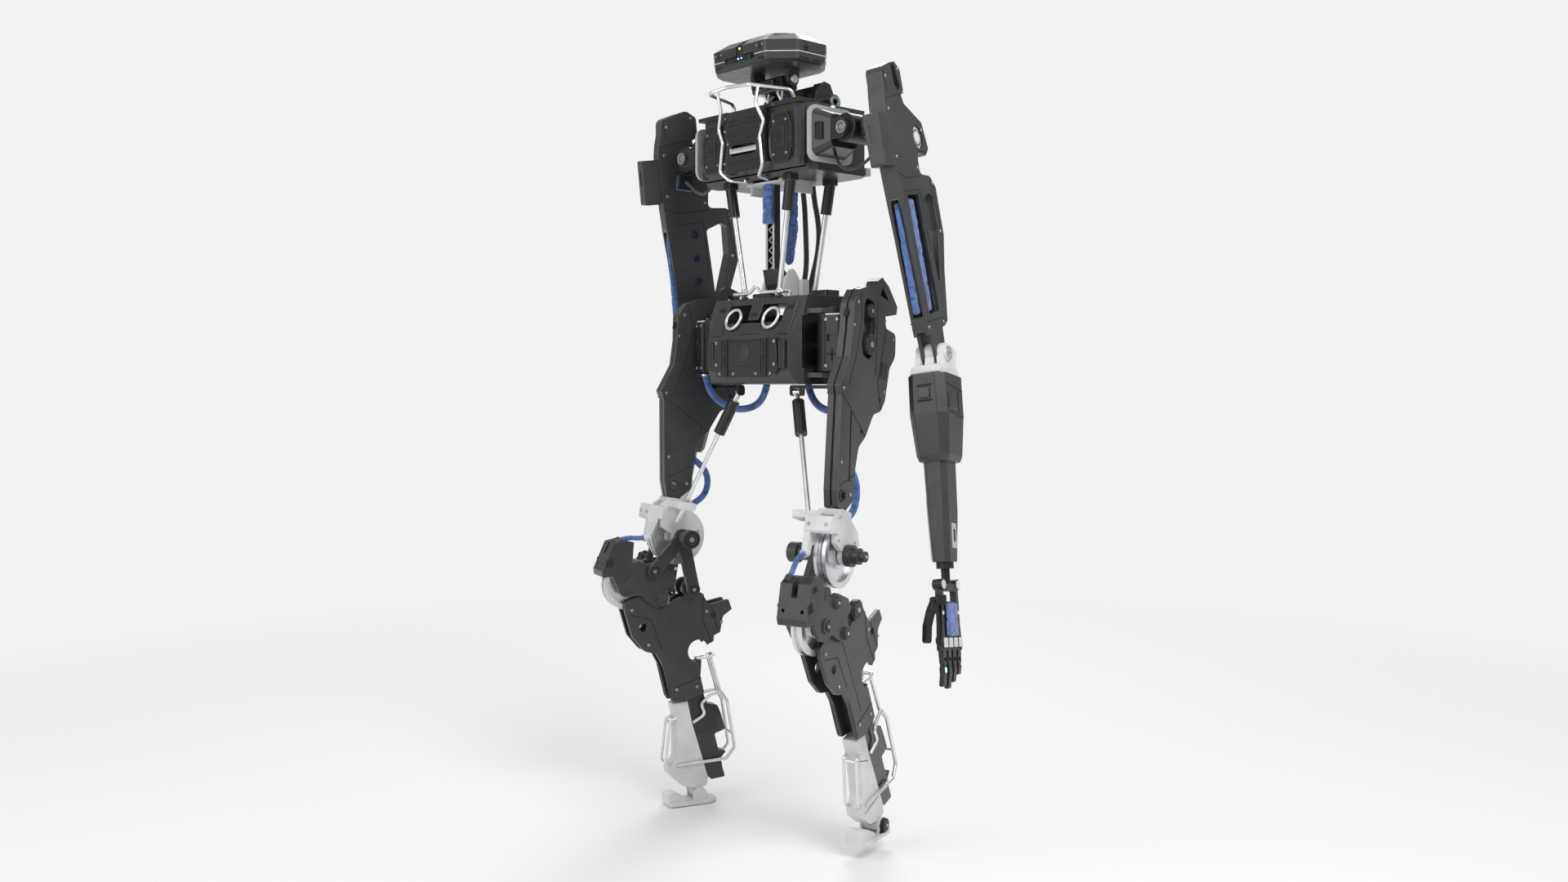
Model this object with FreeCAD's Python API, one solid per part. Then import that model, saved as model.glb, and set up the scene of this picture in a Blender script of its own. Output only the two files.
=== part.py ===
"""Humanoid robot kit, full size, standing pose, in millimetres.

The robot faces -Y with its left side at +X and +Z up. It is modelled about the hip centre,
midway between the two hip joints, and written out with the centre of the stand flange on the
back of the pelvis as the origin. Limbs are drawn once, as left limbs hanging straight down
from their own joint, then mirrored for the right side and turned to the standing pose.
"""
import FreeCAD, Part

import math
import os

V = FreeCAD.Vector

# ---- driving dimensions -------------------------------------------------------------------
PELVIS_HALF = 138.0         # half width of the pelvis housing
FLANGE_Y = 96.0             # stand flange face, behind the hip centre
FLANGE_HOLE_R = 3.3
FLANGE_SPAN = (70.0, 44.0)  # bolt spacing, across and up

YAW_X, YAW_Y = 172.0, -20.0   # hip yaw pin
HIP_OUT = 66.0                # from the yaw pin out to the thigh
THIGH = 402.0                 # hip axis to knee axis
SHANK = 552.0                 # knee axis to ankle axis
WAIST_Z = 116.0               # waist pitch axis
CHEST_Z = (334.0, 463.0)      # underside and top of the chest
SHOULDER = (240.0, -25.0, 404.0)  # shoulder roll axis, hub centre
ARM_OUT = 78.0                # hub centre out to the middle of the arm frame
ARM = 438.0                   # shoulder axis to elbow axis
FOREARM = 415.0               # elbow axis to wrist axis
NECK = (0.0, -14.0)           # neck yaw axis
HEAD_AXIS = (-14.0, 531.0)    # head pitch axis, y and z

STRUT_TOP = (-84.4, 11.2, -90.0)  # strut pin, from the hip yaw pin
GUIDE = (-58.0, -14.0, -336.0)    # strut guide above the knee, from the hip axis

PIN_CLEAR = 0.05              # running clearance on the radius

KNUCKLE_Z = -127.0          # knuckle rod, below the wrist
TIP_Z = -151.0              # hinge of the outer finger links
FINGER_Y = (-31.5, -10.5, 10.5, 31.5)
FINGER_REACH = (44.0, 48.0, 38.0, 26.0)  # hinge to fingertip, index to little finger
THUMB_PIVOT = (0.0, -50.0, -42.0)

# standing pose, in degrees
HIP_TOE = 17.0
HIP_PITCH = {"left": 16.0, "right": 10.0}
KNEE_BEND = {"left": 32.0, "right": 15.0}
ARM_TOE = 17.0
ARM_SPREAD = 7.5
ARM_BACK = 10.0
ELBOW_BEND = 16.0
SIDES = ("left", "right")


# ---- drawing helpers ----------------------------------------------------------------------
def unit(a, b):
    """Unit vector from a to b."""
    return (b - a).normalize()


def tangent_arc(before, corner, after, radius):
    """The two ends and the middle of an arc that rounds a corner between two straight runs."""
    to_a, to_b = unit(corner, before), unit(corner, after)
    half = to_a.getAngle(to_b) / 2
    reach = radius / math.tan(half)
    shorter = min((before - corner).Length, (after - corner).Length)
    if reach > 0.49 * shorter:
        reach = 0.49 * shorter
        radius = reach * math.tan(half)
    bisector = (to_a + to_b).normalize()
    middle = corner + bisector * (radius / math.sin(half) - radius)
    return corner + to_a * reach, middle, corner + to_b * reach


def closed_wire(corners):
    """Closed wire of straight sides; each corner is (point, rounding radius)."""
    edges = []
    count = len(corners)
    ends = []
    for i, (point, radius) in enumerate(corners):
        before, after = corners[i - 1][0], corners[(i + 1) % count][0]
        if radius > 0:
            ends.append(tangent_arc(before, point, after, radius))
        else:
            ends.append((point, None, point))
    for i, (start, middle, end) in enumerate(ends):
        if middle is not None:
            edges.append(Part.Arc(start, middle, end).toShape())
        following = ends[(i + 1) % count][0]
        if (following - end).Length > 1e-4:
            edges.append(Part.LineSegment(end, following).toShape())
    return Part.Wire(edges)


def slab(corners, low, high, along):
    """Flat plate: corners are (u, v) or (u, v, radius) in the plane across the axis along."""
    lift = {
        "x": lambda u, v: V(low, u, v),
        "y": lambda u, v: V(u, low, v),
        "z": lambda u, v: V(u, v, low),
    }[along]
    step = {"x": V(1, 0, 0), "y": V(0, 1, 0), "z": V(0, 0, 1)}[along] * (high - low)
    wire = closed_wire([(lift(c[0], c[1]), c[2] if len(c) > 2 else 0) for c in corners])
    return Part.Face(wire).extrude(step)


def box(x, y, z, radius=0, along="z"):
    """Block from (low, high) spans, with the four edges that run along one axis rounded."""
    spans = {"x": (y, z, x), "y": (x, z, y), "z": (x, y, z)}[along]
    (u0, u1), (v0, v1), (low, high) = spans
    corners = [(u0, v0, radius), (u1, v0, radius), (u1, v1, radius), (u0, v1, radius)]
    return slab(corners, low, high, along)


def bar(start, end, radius):
    """Round bar between two points."""
    a, b = V(*start), V(*end)
    return Part.makeCylinder(radius, (b - a).Length, a, b - a)


def ring(start, end, outer, inner):
    return bar(start, end, outer).cut(bar(start, end, inner))


def join(*shapes):
    return shapes[0].fuse(list(shapes[1:])).removeSplitter()


def group(*shapes):
    """Separate solids kept together in one node."""
    return Part.makeCompound([s for shape in shapes for s in shape.Solids])


def bent_bar(points, radius, bend):
    """Round bar of straight runs joined by tangent arcs."""
    path, _ = run_path([V(*p) for p in points], lambda i: bend)
    return sweep(path, radius)


def run_path(points, bend_at):
    """Wire of straight runs and tangent arcs, and the radii of its arcs."""
    edges, radii = [], []
    here = points[0]
    for i in range(1, len(points) - 1):
        start, middle, end = tangent_arc(points[i - 1], points[i], points[i + 1], bend_at(i))
        edges.append(Part.LineSegment(here, start).toShape())
        arc = Part.Arc(start, middle, end).toShape()
        edges.append(arc)
        radii.append(arc.Curve.Radius)
        here = end
    edges.append(Part.LineSegment(here, points[-1]).toShape())
    return Part.Wire(edges), radii


def sweep(path, radius):
    first = path.Edges[0]
    start = first.valueAt(first.FirstParameter)
    circle = Part.makeCircle(radius, start, first.tangentAt(first.FirstParameter))
    return path.makePipeShell([Part.Wire([circle])], True, False)


def hose(name, points, diameter):
    """Free hose: every arc is as large as its two runs allow."""
    spots = [V(*p) for p in points]

    def bend(i):
        before, after = spots[i - 1] - spots[i], spots[i + 1] - spots[i]
        half = before.getAngle(after) / 2
        return 0.45 * min(before.Length, after.Length) * math.tan(half)

    path, radii = run_path(spots, bend)
    tube = sweep(path, diameter / 2)
    expected = math.pi * diameter ** 2 / 4 * path.Length
    print(f"{name}: length {path.Length:.0f}, smallest bend {min(radii) / diameter:.1f} diameters,"
          f" volume ratio {tube.Volume / expected:.3f}")
    return tube


def mirrored(shape, side):
    """Left limb parts as drawn; right limb parts as their mirror image."""
    return shape if side == "left" else shape.mirror(V(0, 0, 0), V(1, 0, 0))


# ---- standing pose ------------------------------------------------------------------------
def turn(axis, degrees):
    return FreeCAD.Placement(V(0, 0, 0), FreeCAD.Rotation(axis, degrees))


def shift(x, y, z):
    return FreeCAD.Placement(V(x, y, z), FreeCAD.Rotation())


def limb_frames(side):
    """Placement of each limb frame in the hip frame, for one side of the robot."""
    s = 1 if side == "left" else -1
    x_axis, y_axis, z_axis = V(1, 0, 0), V(0, 1, 0), V(0, 0, 1)
    hip = shift(s * YAW_X, YAW_Y, 0) * turn(z_axis, s * HIP_TOE)
    thigh = hip * shift(s * HIP_OUT, 0, 0) * turn(x_axis, -HIP_PITCH[side])
    shank = thigh * shift(0, 0, -THIGH) * turn(x_axis, KNEE_BEND[side])
    level = HIP_PITCH[side] - KNEE_BEND[side]
    foot = shank * shift(0, 0, -SHANK) * turn(x_axis, level)
    hub = shift(s * SHOULDER[0], SHOULDER[1], SHOULDER[2])
    hub = hub * turn(y_axis, -s * ARM_SPREAD) * turn(z_axis, s * ARM_TOE)
    arm = hub * shift(s * ARM_OUT, 0, 0) * turn(x_axis, ARM_BACK)
    forearm = arm * shift(0, 0, -ARM) * turn(x_axis, -ELBOW_BEND)
    hand = forearm * shift(0, 0, -FOREARM)
    return {"hip": hip, "thigh": thigh, "shank": shank, "foot": foot,
            "hub": hub, "arm": arm, "forearm": forearm, "hand": hand}


def placed(shape, placement):
    return shape.transformed(placement.toMatrix())


# ---- pelvis -------------------------------------------------------------------------------
def pelvis_housing():
    """Faceted casing, open at both ends, with yaw ears and the flange that a stand bolts to."""
    profile = [(-88, -50, 4), (-72, -75, 8), (66, -75, 8), (88, -52, 4), (88, 44, 4),
               (60, 98, 4), (-52, 98, 4), (-88, 14, 3)]
    shell = slab(profile, -PELVIS_HALF, PELVIS_HALF, "x")
    chamfer = [(118, -90), (140, -90), (140, -60)]
    for s in (-1, 1):
        shell = shell.cut(slab([(s * x, y) for x, y in chamfer], -90, 110, "z"))
    for s in (-1, 1):
        bay = box(sorted((s * 92, s * 140)), (-66, 66), (-46, 58), 6, "x")
        shell = shell.cut(bay)
    core = box((-84, 84), (-74, 74), (-58, 84))
    shell = shell.cut(core)
    for s in (-1, 1):
        for low, high in ((-62, -53), (62, 71)):
            ear = slab([(s * 110, -62), (s * 168, -44, 14), (s * 194, -20, 20),
                        (s * 168, 6, 14), (s * 110, 24)], low, high, "z")
            shell = shell.fuse(ear)
        shell = shell.fuse(bar((s * YAW_X, YAW_Y, -62), (s * YAW_X, YAW_Y, 74), 7))
    half_x, half_z = FLANGE_SPAN[0] / 2, FLANGE_SPAN[1] / 2
    flange = box((-half_x - 14, half_x + 14), (86, FLANGE_Y), (-half_z - 12, half_z + 12), 8, "y")
    shell = shell.fuse(flange)
    for x in (-half_x, half_x):
        for z in (-half_z, half_z):
            shell = shell.cut(bar((x, 70, z), (x, FLANGE_Y + 1, z), FLANGE_HOLE_R))
    return shell.removeSplitter()


def pelvis_panels():
    """Front cover, two straps, top deck blocks and the hip drive motors in the end bays."""
    front = slab([(-96, -46), (-92, 16), (92, 16), (96, -46), (80, -62), (-80, -62)],
                 -95, -88.2, "y")
    for s in (-1, 1):
        front = front.cut(box(sorted((s * 47, s * 50)), (-96, -93), (-62, 16)))
    emblem_rim = ring((0, -97, -12), (0, -95, -12), 15, 13.4)
    deck = [box(sorted((s * 62, s * 112)), (22, 60), (98.2, 112), 4) for s in (-1, 1)]
    vents = box((-26, 26), (-50, -35), (98.2, 106), 3)
    motors, seats = [], []
    for s in (-1, 1):
        motors.append(bar((s * 92.3, 38, 26), (s * 131, 38, 26), 23))
        motors.append(bar((s * 92.3, 34, -22), (s * 126, 34, -22), 19))
        seats += [bar((s * 52, y, 98.2), (s * 52, y, 101.6), 7) for y in (-48, 48)]
    return group(join(front, emblem_rim), *deck, vents, *motors, *seats)


def pelvis_handles():
    """Two ring handles on the upper facet and the wire frame with a loop over the deck."""
    parts = []
    for s in (-1, 1):
        parts.append(Part.makeTorus(21, 3.4, V(s * 56, -75.2, 55.6), V(0, -84, 36)))
    frame = bent_bar([(-72, -40, 107.2), (-72, -63, 107.2), (-16, -66, 107.2), (0, -66, 121),
                      (16, -66, 107.2), (72, -63, 107.2), (72, -40, 107.2)], 3.2, 7)
    frame = frame.fuse([bar((s * 72, -40, 98.3), (s * 72, -40, 108), 4.6) for s in (-1, 1)])
    parts.append(frame.removeSplitter())
    return group(*parts)


def waist_base():
    """Pale gimbal base: round foot, stepped collar and two ears with the pitch pin."""
    foot = slab([(-50, -34, 10), (50, -34, 10), (50, 44, 10), (-50, 44, 10)], 98.2, 103, "z")
    collar = ring((0, 0, 103), (0, 0, 108), 33, 24)
    base = foot.fuse(collar)
    for s in (-1, 1):
        ear = slab([(-26, 103), (30, 103), (22, 140, 6), (6, 160, 6), (-12, 140, 10)],
                   *sorted((s * 25, s * 33)), "x")
        base = base.fuse(ear)
    base = base.fuse(bar((-33, 0, WAIST_Z + 6), (33, 0, WAIST_Z + 6), 6))
    for s in (-1, 1):
        base = base.fuse(box(sorted((s * 33, s * 46)), (18, 40), (103, 136), 4))
    return base.removeSplitter()


# ---- chest --------------------------------------------------------------------------------
def chest_housing():
    """Hollow torso casing with chamfered ends."""
    low, high = CHEST_Z
    plan = [(-165, -52, 3), (-136, -84, 3), (136, -84, 3), (165, -52, 3), (165, 76, 6),
            (142, 92, 6), (-142, 92, 6), (-165, 76, 6)]
    body = slab(plan, low, high, "z")
    inner = box((-150, 150), (-70, 80), (low + 7, high - 7))
    body = body.cut(inner)
    lower_chamfer = [(-86, low - 1), (-60, low - 1), (-86, low + 26)]
    body = body.cut(slab(lower_chamfer, -170, 170, "x"))
    return body.removeSplitter()


def chest_panels():
    """Raised front cover, ledge, flank covers and the collar yoke behind the neck."""
    low, high = CHEST_Z
    front = slab([(-66, low + 24), (-60, high - 34, 2), (-60, high + 4), (60, high + 4),
                  (60, high - 34, 2), (66, low + 24), (48, low + 10), (-48, low + 10)],
                 -99, -84.3, "y")
    front = front.cut(box((-40, 40), (-100, -84), (low + 44, low + 66), 10, "y"))
    drum = bar((-38, -91.7, low + 55), (38, -91.7, low + 55), 7)
    ledge = box((-150, 150), (-90, -40), (high + 0.3, high + 8))
    ledge = ledge.cut(box((-61, 61), (-100, -83), (high, high + 10)))
    flanks = []
    for s in (-1, 1):
        hexagon = [(s * 70, low + 40), (s * 82, low + 18), (s * 122, low + 18),
                   (s * 133, low + 42), (s * 133, low + 84), (s * 120, high - 14),
                   (s * 80, high - 14), (s * 70, low + 92)]
        flanks.append(slab(hexagon, -93, -84.3, "y"))
    yoke = slab([(18, high + 8.3), (26, high + 46, 8), (46, high + 70, 10), (66, high + 66, 8),
                 (88, high + 20, 6), (88, high + 0.3), (20, high + 0.3)], -78, 78, "x")
    yoke = yoke.cut(slab([(10, high + 8), (40, high + 90), (10, high + 90)], -90, 90, "x"))
    yoke = yoke.cut(box((-56, 56), (0, 58), (high + 14, high + 90), 14, "y"))
    knobs = [ring((s * 78.3, 58, high + 26), (s * 100, 58, high + 26), 15, 5) for s in (-1, 1)]
    drum_seats = [bar((s * 38.3, -91.7, low + 55), (s * 40, -91.7, low + 55), 7)
                  for s in (-1, 1)]
    post = bar((*NECK, high + 0.3), (*NECK, high + 8.3), 24)
    post = post.fuse(bar((*NECK, high + 8), (*NECK, high + 20), 8))
    return group(front, drum, ledge, *flanks, yoke, *knobs, *drum_seats, post)


def shoulder_boots():
    """Gasket frame, tapered boot and the two ears that hold each shoulder hub pin."""
    parts = []
    sx, sy, sz = SHOULDER
    for side in SIDES:
        gasket = box((165.3, 172), (sy - 56, sy + 60), (sz - 55, sz + 52), 18, "x")
        wires = [closed_wire([(V(x, sy + y, sz + z), r) for y, z in
                              ((-a, -b), (a, -b), (a, b), (-a, b))])
                 for x, a, b, r in ((172, 50, 46, 16), (208, 36, 31, 12))]
        boot = Part.makeLoft(wires, True, True)
        panel = box((178, 196), (sy - 49, sy - 38), (sz - 17, sz + 17), 3, "y")
        ears = [slab([(206, sz - 19), (sx, sz - 19, 18), (sx + 19, sz, 18), (sx, sz + 19, 18),
                      (206, sz + 19)], sy + a, sy + b, "y") for a, b in ((-36, -30.4), (30.4, 36))]
        disc = bar((sx, sy - 40, sz), (sx, sy - 36, sz), 15)
        pin = bar((sx, sy - 38, sz), (sx, sy + 38, sz), 7)
        parts.append(mirrored(join(gasket, boot, panel, *ears, disc, pin), side))
    return group(*parts)


def chest_guard():
    """Bent wire guard over the chest front, on four feet."""
    low, high = CHEST_Z
    top = bent_bar([(-86, -46, high + 8.3), (-86, -50, high + 34), (-74, -128, high + 42),
                    (-30, -116, high + 50), (34, -112, high + 47), (98, -60, high + 34),
                    (98, -46, high + 8.3)], 3.6, 12)
    parts = [top]
    for s, top_point in ((-1, (-52, -122, high + 46)), (1, (48, -100.6, high + 44.2))):
        drop = [top_point, (s * 52, -112, high + 8), (s * 68, -104, high - 28),
                (s * 56, -104, high - 56), (s * 64, -104, low + 16), (s * 44, -96, low - 2.5),
                (s * 30, -62, low - 4)]
        parts.append(bent_bar(drop, 3.4, 10))
        parts.append(bar((s * 30, -66, low - 4), (s * 30, -66, low + 1), 4))
    return join(*parts)


def waist_frame():
    """Spine column with its rails, and the four rod sleeves under the chest."""
    low = CHEST_Z[0]
    rails = [box(sorted((s * 7, s * 13)), (-27, -15), (150, low - 8.3)) for s in (-1, 1)]
    back = box((-13, 13), (-15, -11), (150, low - 8.3))
    rungs = []
    count = 9
    pitch = 92.0 / count
    for i in range(count):
        z = 154 + i * pitch
        lean = pitch if i % 2 == 0 else -pitch
        rungs.append(bar((-7, -23, z + (pitch - lean) / 2), (7, -23, z + (pitch + lean) / 2), 1.6))
    foot = slab([(-27, 156), (-20, 126, 4), (-9, 111.5, 6), (9, 111.5, 6), (16, 128, 8),
                 (-8, 156)], -22, 22, "x")
    foot = foot.cut(bar((-30, 0, WAIST_Z + 6), (30, 0, WAIST_Z + 6), 6 + PIN_CLEAR))
    column = join(*rails, back, *rungs, foot)
    sleeves = []
    for sx in (-1, 1):
        for sy in (-1, 1):
            foot_point, head_point = rod_ends(sx, sy)
            a, b = V(*foot_point), V(*head_point)
            axis = unit(a, b)
            start = b - axis * 62
            outer = Part.makeCylinder(11, 62, start, axis)
            bore = Part.makeCylinder(7.6, 57, start - axis, axis)
            cap = box((head_point[0] - 12, head_point[0] + 12),
                      (head_point[1] - 12, head_point[1] + 12), (low - 12, low - 0.3), 4)
            sleeves.append(outer.cut(bore).fuse(cap.cut(bore)).removeSplitter())
    return group(column, *sleeves)


def rod_ends(sx, sy):
    """Foot and head of one waist rod, on side sx and front or back sy."""
    return (sx * 52, sy * 48, 110), (sx * 90, sy * 54, CHEST_Z[0] - 8)


def waist_rods(sy):
    """Pair of waist rods with a ball on the foot of each."""
    rods = []
    for sx in (-1, 1):
        foot_point, head_point = rod_ends(sx, sy)
        a, b = V(*foot_point), V(*head_point)
        axis = unit(a, b)
        rod = Part.makeCylinder(5.4, (b - a).Length - 16, a, axis)
        ball = Part.makeSphere(8, a)
        rods.append(rod.fuse(ball).removeSplitter())
    return group(*rods)


def waist_sleeves():
    """Two padded fabric sleeves, one in front of the spine column and one behind it."""
    low = CHEST_Z[0]
    front = box((-16, 16), (-38, -27.3), (246, low - 8.3), 4)
    rear = slab([(20, low - 8.3), (46, low - 8.3), (44, 240), (30, 168, 4), (20, 168, 4)],
                -12, 12, "x")
    return group(front, rear)


def waist_bracket():
    """Pale sheet bracket bolted under the chest, with turned-down lips."""
    low = CHEST_Z[0]
    plate = box((-56, 56), (-44, 52), (low - 8, low - 4), 6)
    blocks = [box(sorted((s * 40, s * 56)), (-40, 48), (low - 4, low - 0.3)) for s in (-1, 1)]
    lips = [box(sorted((s * 50, s * 56)), (-30, 38), (low - 26, low - 8)) for s in (-1, 1)]
    return join(plate, *blocks, *lips)


# ---- neck and head ------------------------------------------------------------------------
def neck_module():
    """Turntable, Y-shaped struts and the sensor module that carries the head pin."""
    x, y = NECK
    top = CHEST_Z[1] + 8.6
    table = bar((x, y, top), (x, y, top + 11), 26)
    table = table.cut(bar((x, y, top - 1), (x, y, top + 12), 8 + PIN_CLEAR))
    struts = []
    for s in (-1, 1):
        struts.append(bar((s * 18, y, top + 8), (s * 20, y, top + 24), 3.4))
        for lean in (-1, 1):
            struts.append(bar((s * 20, y, top + 22), (s * (20 + 9 * lean), y - 4, 514), 3.0))
    module = box((-44, 44), (y - 22, y + 20), (511, 538), 6, "x")
    lamp_box = box((-30, 30), (y - 34, y - 20), (514, 530), 4)
    pin = bar((-58, *HEAD_AXIS), (58, *HEAD_AXIS), 6)
    return join(table, *struts, module, lamp_box, pin)


def head_shell():
    """Flat eight-sided pod with a sloped rim, a front notch and the lugs on the neck pin."""
    half_x, half_y, cut = 124, 83, 46
    centre_y = -27

    def ring_at(z, inset, corner):
        hx, hy, c = half_x - inset, half_y - inset, cut - inset * 0.4
        pts = [(-hx, -hy + c), (-hx + c, -hy), (hx - c, -hy), (hx, -hy + c),
               (hx, hy - c), (hx - c, hy), (-hx + c, hy), (-hx, hy - c)]
        return closed_wire([(V(px, centre_y + py, z), corner) for px, py in pts])

    levels = [(549, 10, 14), (554, 3, 14), (590, 0, 14)]
    lower = Part.makeLoft([ring_at(*level) for level in levels], True, True)
    upper = Part.makeLoft([ring_at(590, 0, 14), ring_at(608, 26, 12)], True, True)
    pod = lower.fuse(upper).removeSplitter()
    notch = box((-11, 11), (centre_y - 90, centre_y - 64), (561, 612), 2)
    slot = box((-46, 46), (centre_y - 90, centre_y - 76), (561, 573), 5, "y")
    pod = pod.cut(notch).cut(slot)
    recess = box((-34, 34), (centre_y - 20, centre_y + 8), (605, 612), 6)
    pod = pod.cut(recess)
    lugs = []
    for s in (-1, 1):
        lug = slab([(HEAD_AXIS[0] - 16, 549.5), (HEAD_AXIS[0] - 13, 519, 12),
                    (HEAD_AXIS[0] + 13, 519, 12), (HEAD_AXIS[0] + 16, 549.5)],
                   *sorted((s * 46, s * 56)), "x")
        lugs.append(lug.cut(bar((s * 40, *HEAD_AXIS), (s * 60, *HEAD_AXIS), 6 + PIN_CLEAR)))
    return join(pod, *lugs)


def head_sensor():
    """Sensor block in the front notch, the bar handle on top and its two posts."""
    y = -27
    block = box((-10.5, 10.5), (y - 80, y - 64.3), (562, 592), 2)
    side_eyes = [box(sorted((s * 11.3, s * 34)), (y - 80.5, y - 76.3), (563, 571), 2, "y")
                 for s in (-1, 1)]
    handle = bent_bar([(-28, y - 6, 605.3), (-28, y - 6, 611.5), (28, y - 6, 611.5),
                       (28, y - 6, 605.3)], 2.6, 3.5)
    return group(block, *side_eyes, handle)


# ---- legs ---------------------------------------------------------------------------------
def hip_block():
    """Yaw block on the vertical pin, with the thigh shaft and the gland of the hip hose."""
    body = bar((0, 0, -50), (0, 0, 59), 29).fuse(box((0, 36), (-36, 34), (-48, 56), 6))
    body = body.cut(bar((0, 0, -60), (0, 0, 70), 7 + PIN_CLEAR))
    body = body.cut(box((8, 30), (-37, -32), (6, 20)))
    boss = bar((35, 0, 0), (50, 0, 0), 22)
    shaft = bar((30, 0, 0), (HIP_OUT + 15, 0, 0), 9)
    gland_block = box((35, 50), (-27, 3), (-48, -24), 4)
    gland = bar((40, -12, -56), (40, -12, -47), 9)
    return join(body, boss, shaft, gland_block, gland)


def thigh_frame():
    """Thick twin-plate thigh: outer and inner plates on a set-back core, and the neck below."""
    profile = [(-82, 58, 18), (-66, 88, 14), (-38, 103, 16), (0, 107, 8), (10, 88, 6),
               (46, 76, 8), (56, 50, 8), (100, 52, 12), (110, 8, 26), (92, -20, 14),
               (90, -86, 18), (78, -110, 14), (50, -124, 20), (30, -172, 26), (8, -198, 14),
               (6, -240, 20), (12, -300, 3), (-10, -322, 3), (-40, -322, 3), (-51, -292, 3),
               (-82, -122, 5), (-92, -106, 6), (-72, -46, 14), (-74, 6, 10)]
    outer = slab(profile, 3, 15, "x")
    inner = slab(profile, -14, -2, "x")
    face = Part.Face(closed_wire([(V(-3, c[0], c[1]), c[2]) for c in profile]))
    core = face.makeOffset2D(-5).extrude(V(7, 0, 0))
    hook = slab([(-2, 100), (4, 128, 6), (20, 142, 6), (52, 134, 8), (98, 108, 5), (98, 92, 4),
                 (60, 76), (30, 74)], -12, 12, "x")
    hook = hook.cut(slab([(22, 106, 2), (26, 126, 2), (62, 106, 2)], -14, 14, "x"))
    body = join(outer, inner, core, hook)
    window = slab([(-34, 24, 8), (-42, 66, 10), (-36, 82, 10), (-4, 82, 10), (12, 40, 10),
                   (16, -16, 10), (4, -30, 10), (-22, -28, 10), (-34, -8, 10)], -1, 16, "x")
    through = slab([(-28, 24, 4), (-30, 44, 4), (0, 44, 4), (4, 24, 4)], -16, 2, "x")
    body = body.cut(window).cut(through)
    hub = bar((-14, 0, 0), (17, 0, 0), 20)
    roller = bar((-14, -14, 62), (17, -14, 62), 13)
    body = body.fuse([hub, roller])
    body = body.cut(bar((-16, 0, 0), (15.5, 0, 0), 9 + PIN_CLEAR))
    long_slot = slab([(-42, -140, 1.5), (-36, -140, 1.5), (-8, -268, 1.5), (-14, -268, 1.5)],
                     9, 16, "x")
    body = body.cut(long_slot)
    for y, z, r in ((68, -90, 4), (10, -168, 4), (-29, -298, 8)):
        body = body.cut(bar((-20, y, z), (20, y, z), r))
    neck = box((-9, 9), (-38, -8), (-THIGH + 78, -318))
    gland = bar((0, -2, -230), (0, 11, -236.3), 9)
    return body.fuse([neck, gland]).removeSplitter()


def strut_yoke():
    """Cranked bracket from the hip block, under the pelvis, to the fork of the hip strut."""
    x, y, z = STRUT_TOP
    leg = box((36, 46), (8, 28), (-84, -40))
    arm = slab([(x - 13, y - 8, 6), (46, 6, 3), (46, 28, 3), (x - 13, y + 8, 6)],
               -83.6, -76.5, "z")
    cheeks = [box(sorted((x + a * 8.5, x + a * 13)), (y - 8, y + 8), (z - 8, -77), 7, "x")
              for a in (-1, 1)]
    pin = bar((x - 13, y, z), (x + 13, y, z), 4)
    return join(leg, arm, *cheeks, pin)


def hip_strut(side):
    """Rod-end, sleeve and rod of the hip strut; the rod slides through the knee guide."""
    a = V(*STRUT_TOP)
    tilt = turn(V(1, 0, 0), -HIP_PITCH[side])
    b = V(HIP_OUT, 0, 0) + tilt.multVec(V(*GUIDE))
    axis = unit(a, b)
    eye = bar((a.x - 7.9, a.y, a.z), (a.x + 7.9, a.y, a.z), 6)
    stem = Part.makeCylinder(4.2, 30, a, axis)
    sleeve = Part.makeCylinder(12, 75, a + axis * 22, axis)
    rod = Part.makeCylinder(4.6, (b - a).Length + 39 - 90, a + axis * 90, axis)
    strut = eye.fuse([stem, sleeve, rod]).removeSplitter()
    return strut.cut(bar((a.x - 9, a.y, a.z), (a.x + 9, a.y, a.z), 4 + PIN_CLEAR))


def knee_bracket():
    """Pale two-sided bracket over the knee pulley, with a front bridge and a rod guide box."""
    k = -THIGH
    cheek = [(-44, k + 70, 5), (-55, k + 60, 5), (-52, k + 36, 4), (-46, k + 14, 6),
             (-22, k + 4, 4), (22, k + 8, 6), (46, k + 26, 6), (30, k + 50, 10),
             (-12, k + 70, 8)]
    bore = 10 + PIN_CLEAR
    body = []
    for low, high in ((14, 24), (-24, -14)):
        plate = slab(cheek, low, high, "x").fuse(bar((low, 0, k), (high, 0, k), 18.5))
        body.append(plate.cut(bar((low - 1, 0, k), (high + 1, 0, k), bore)))
    body.append(box((-27, 27), (-80, -66), (k + 26, k + 58), 6, "x"))
    body += [box(sorted((s * 14, s * 27)), (-68, -46), (k + 30, k + 56)) for s in (-1, 1)]
    body.append(slab([(-78, k + 58, 3), (-78, k - 6, 5), (-66, k - 12, 4), (-56, k + 24, 4),
                      (-56, k + 58)], -27, -15, "x"))
    body.append(box((-24, 24), (-42, -2), (k + 64, k + 78), 4, "x"))
    gx, gy, gz = GUIDE
    guide = box((gx - 22, -22), (gy - 24, gy + 17), (gz - 8, gz + 8), 4, "x")
    guide = guide.cut(box((gx - 14, gx + 21.5), (gy - 18, gy + 9), (gz - 9, gz + 9)))
    body.append(guide)
    body.append(bar((-21, -68, k - 9), (-21, -79.4, k - 13.7), 8))
    body.append(box((-14, 14), (-3, 18), (k + 61, k + 76), 3, "x"))
    body.append(bar((0, 14, k + 68), (0, 24, k + 70), 9))
    return join(*body)


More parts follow.
